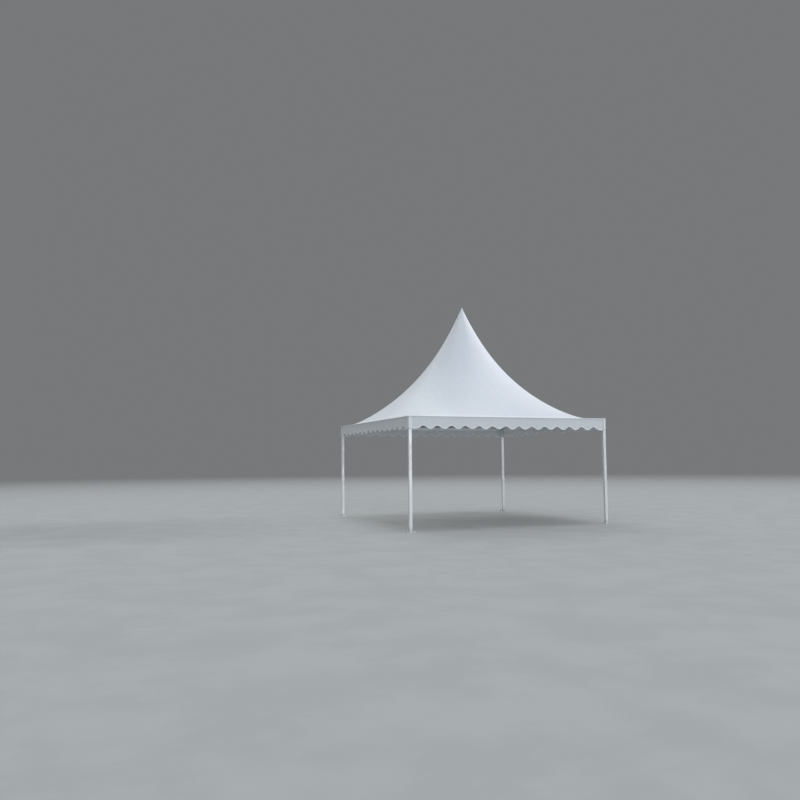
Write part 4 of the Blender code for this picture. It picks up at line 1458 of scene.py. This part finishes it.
cap_mesh = flat_map(finished(peak_cap(), 50), (1, 1, 0), (0, 0, 1))
cap = stand("peak_hood", cap_mesh, cap_cloth, "peak_cap")


# Stage, lights and camera
# A plain pale floor that fades into an even backdrop, under soft light from overhead and from
# all sides, strongest from the right. The camera stands at a visitor's eye height.

FLOOR_COLOR = (0.43, 0.435, 0.43, 1.0)
FLOOR_MOTTLE = (0.4042, 0.4089, 0.4042, 1.0)
FADE_FROM = 12.0  # the floor thins out to nothing from here on, so it has no edge
FADE_TO = 70.0
BACKDROP = (0.185, 0.190, 0.195, 1.0)
ZENITH = (0.465, 0.480, 0.505, 1.0)
ZENITH_FROM = 0.56  # sine of the height above the horizon at which the sky starts to brighten
ZENITH_TO = 0.90
LIGHT_DISTANCE = 30.0
CAMERA_PLACE = (-8.40, -17.29, 1.48)
CAMERA_YAW = -21.09
CAMERA_PITCH = 4.71
CAMERA_ROLL = -0.45
CAMERA_LENS = 33.75


def pale_floor():
    mesh = bpy.data.meshes.new("floor")
    corners = [(x * FADE_TO, y * FADE_TO, 0) for x, y in ((-1, -1), (1, -1), (1, 1), (-1, 1))]
    mesh.from_pydata(corners, [], [(0, 1, 2, 3)])
    made, shader, place = new_material("pale_floor")
    out = add_node(made.node_tree, "ShaderNodeVectorMath", {0: place}, operation="LENGTH").outputs["Value"]
    feed(shader, {
        "Base Color": mixed(stained(place, size=0.8, cover=0.5), FLOOR_COLOR, FLOOR_MOTTLE),
        "Alpha": eased(out, FADE_FROM, FADE_TO, 1.0, 0.0), "Roughness": 0.9, "Specular IOR Level": 0.1,
    })
    mesh.materials.append(made)
    put_in_scene("floor", mesh)


def even_sky():
    world = bpy.data.worlds.new("sky")
    world.use_nodes = True
    tree = world.node_tree
    up = part_of(add_node(tree, "ShaderNodeTexCoord").outputs["Generated"], "Z")
    share = eased(up, ZENITH_FROM, ZENITH_TO, 0.0, 1.0)
    feed(tree.nodes["Background"], {"Color": mixed(share, BACKDROP, ZENITH)})
    bpy.context.scene.world = world


def broad_light(name, azimuth, elevation, spread, strength, color):
    """Even light from one side, azimuth counted from the front towards the right."""
    lamp = bpy.data.lights.new(name, "SUN")
    lamp.angle = math.radians(spread)
    lamp.energy = strength
    lamp.color = color
    light = put_in_scene(name, lamp)
    turn, rise = math.radians(azimuth), math.radians(elevation)
    towards = Vector((math.sin(turn) * math.cos(rise), -math.cos(turn) * math.cos(rise), math.sin(rise)))
    light.location = towards * LIGHT_DISTANCE
    light.rotation_euler = towards.to_track_quat("Z", "Y").to_euler()


def visitor_camera():
    lens = bpy.data.cameras.new("camera")
    lens.lens = CAMERA_LENS
    lens.clip_end = 1000
    camera = put_in_scene("camera", lens)
    matrix = Matrix.Translation(CAMERA_PLACE)
    for angle, axis in ((CAMERA_YAW, "Z"), (CAMERA_PITCH + 90, "X"), (CAMERA_ROLL, "Z")):
        matrix = matrix @ Matrix.Rotation(math.radians(angle), 4, axis)
    camera.matrix_world = matrix
    bpy.context.scene.camera = camera


pale_floor()
even_sky()
broad_light("right_light", 84.0, 12.0, 18.0, 2.44, (0.99, 1.0, 1.0))
broad_light("front_light", 0.0, 5.0, 50.0, 1.16, (0.91, 0.99, 1.07))
broad_light("left_light", -60.0, 45.0, 40.0, 0.36, (0.93, 1.02, 0.99))
broad_light("back_light", 180.0, 45.0, 40.0, 0.69, (0.96, 1.02, 1.0))
broad_light("top_light", 0.0, 88.0, 30.0, 0.55, (0.88, 0.97, 1.12))
visitor_camera()
bpy.context.scene.view_settings.view_transform = "Standard"
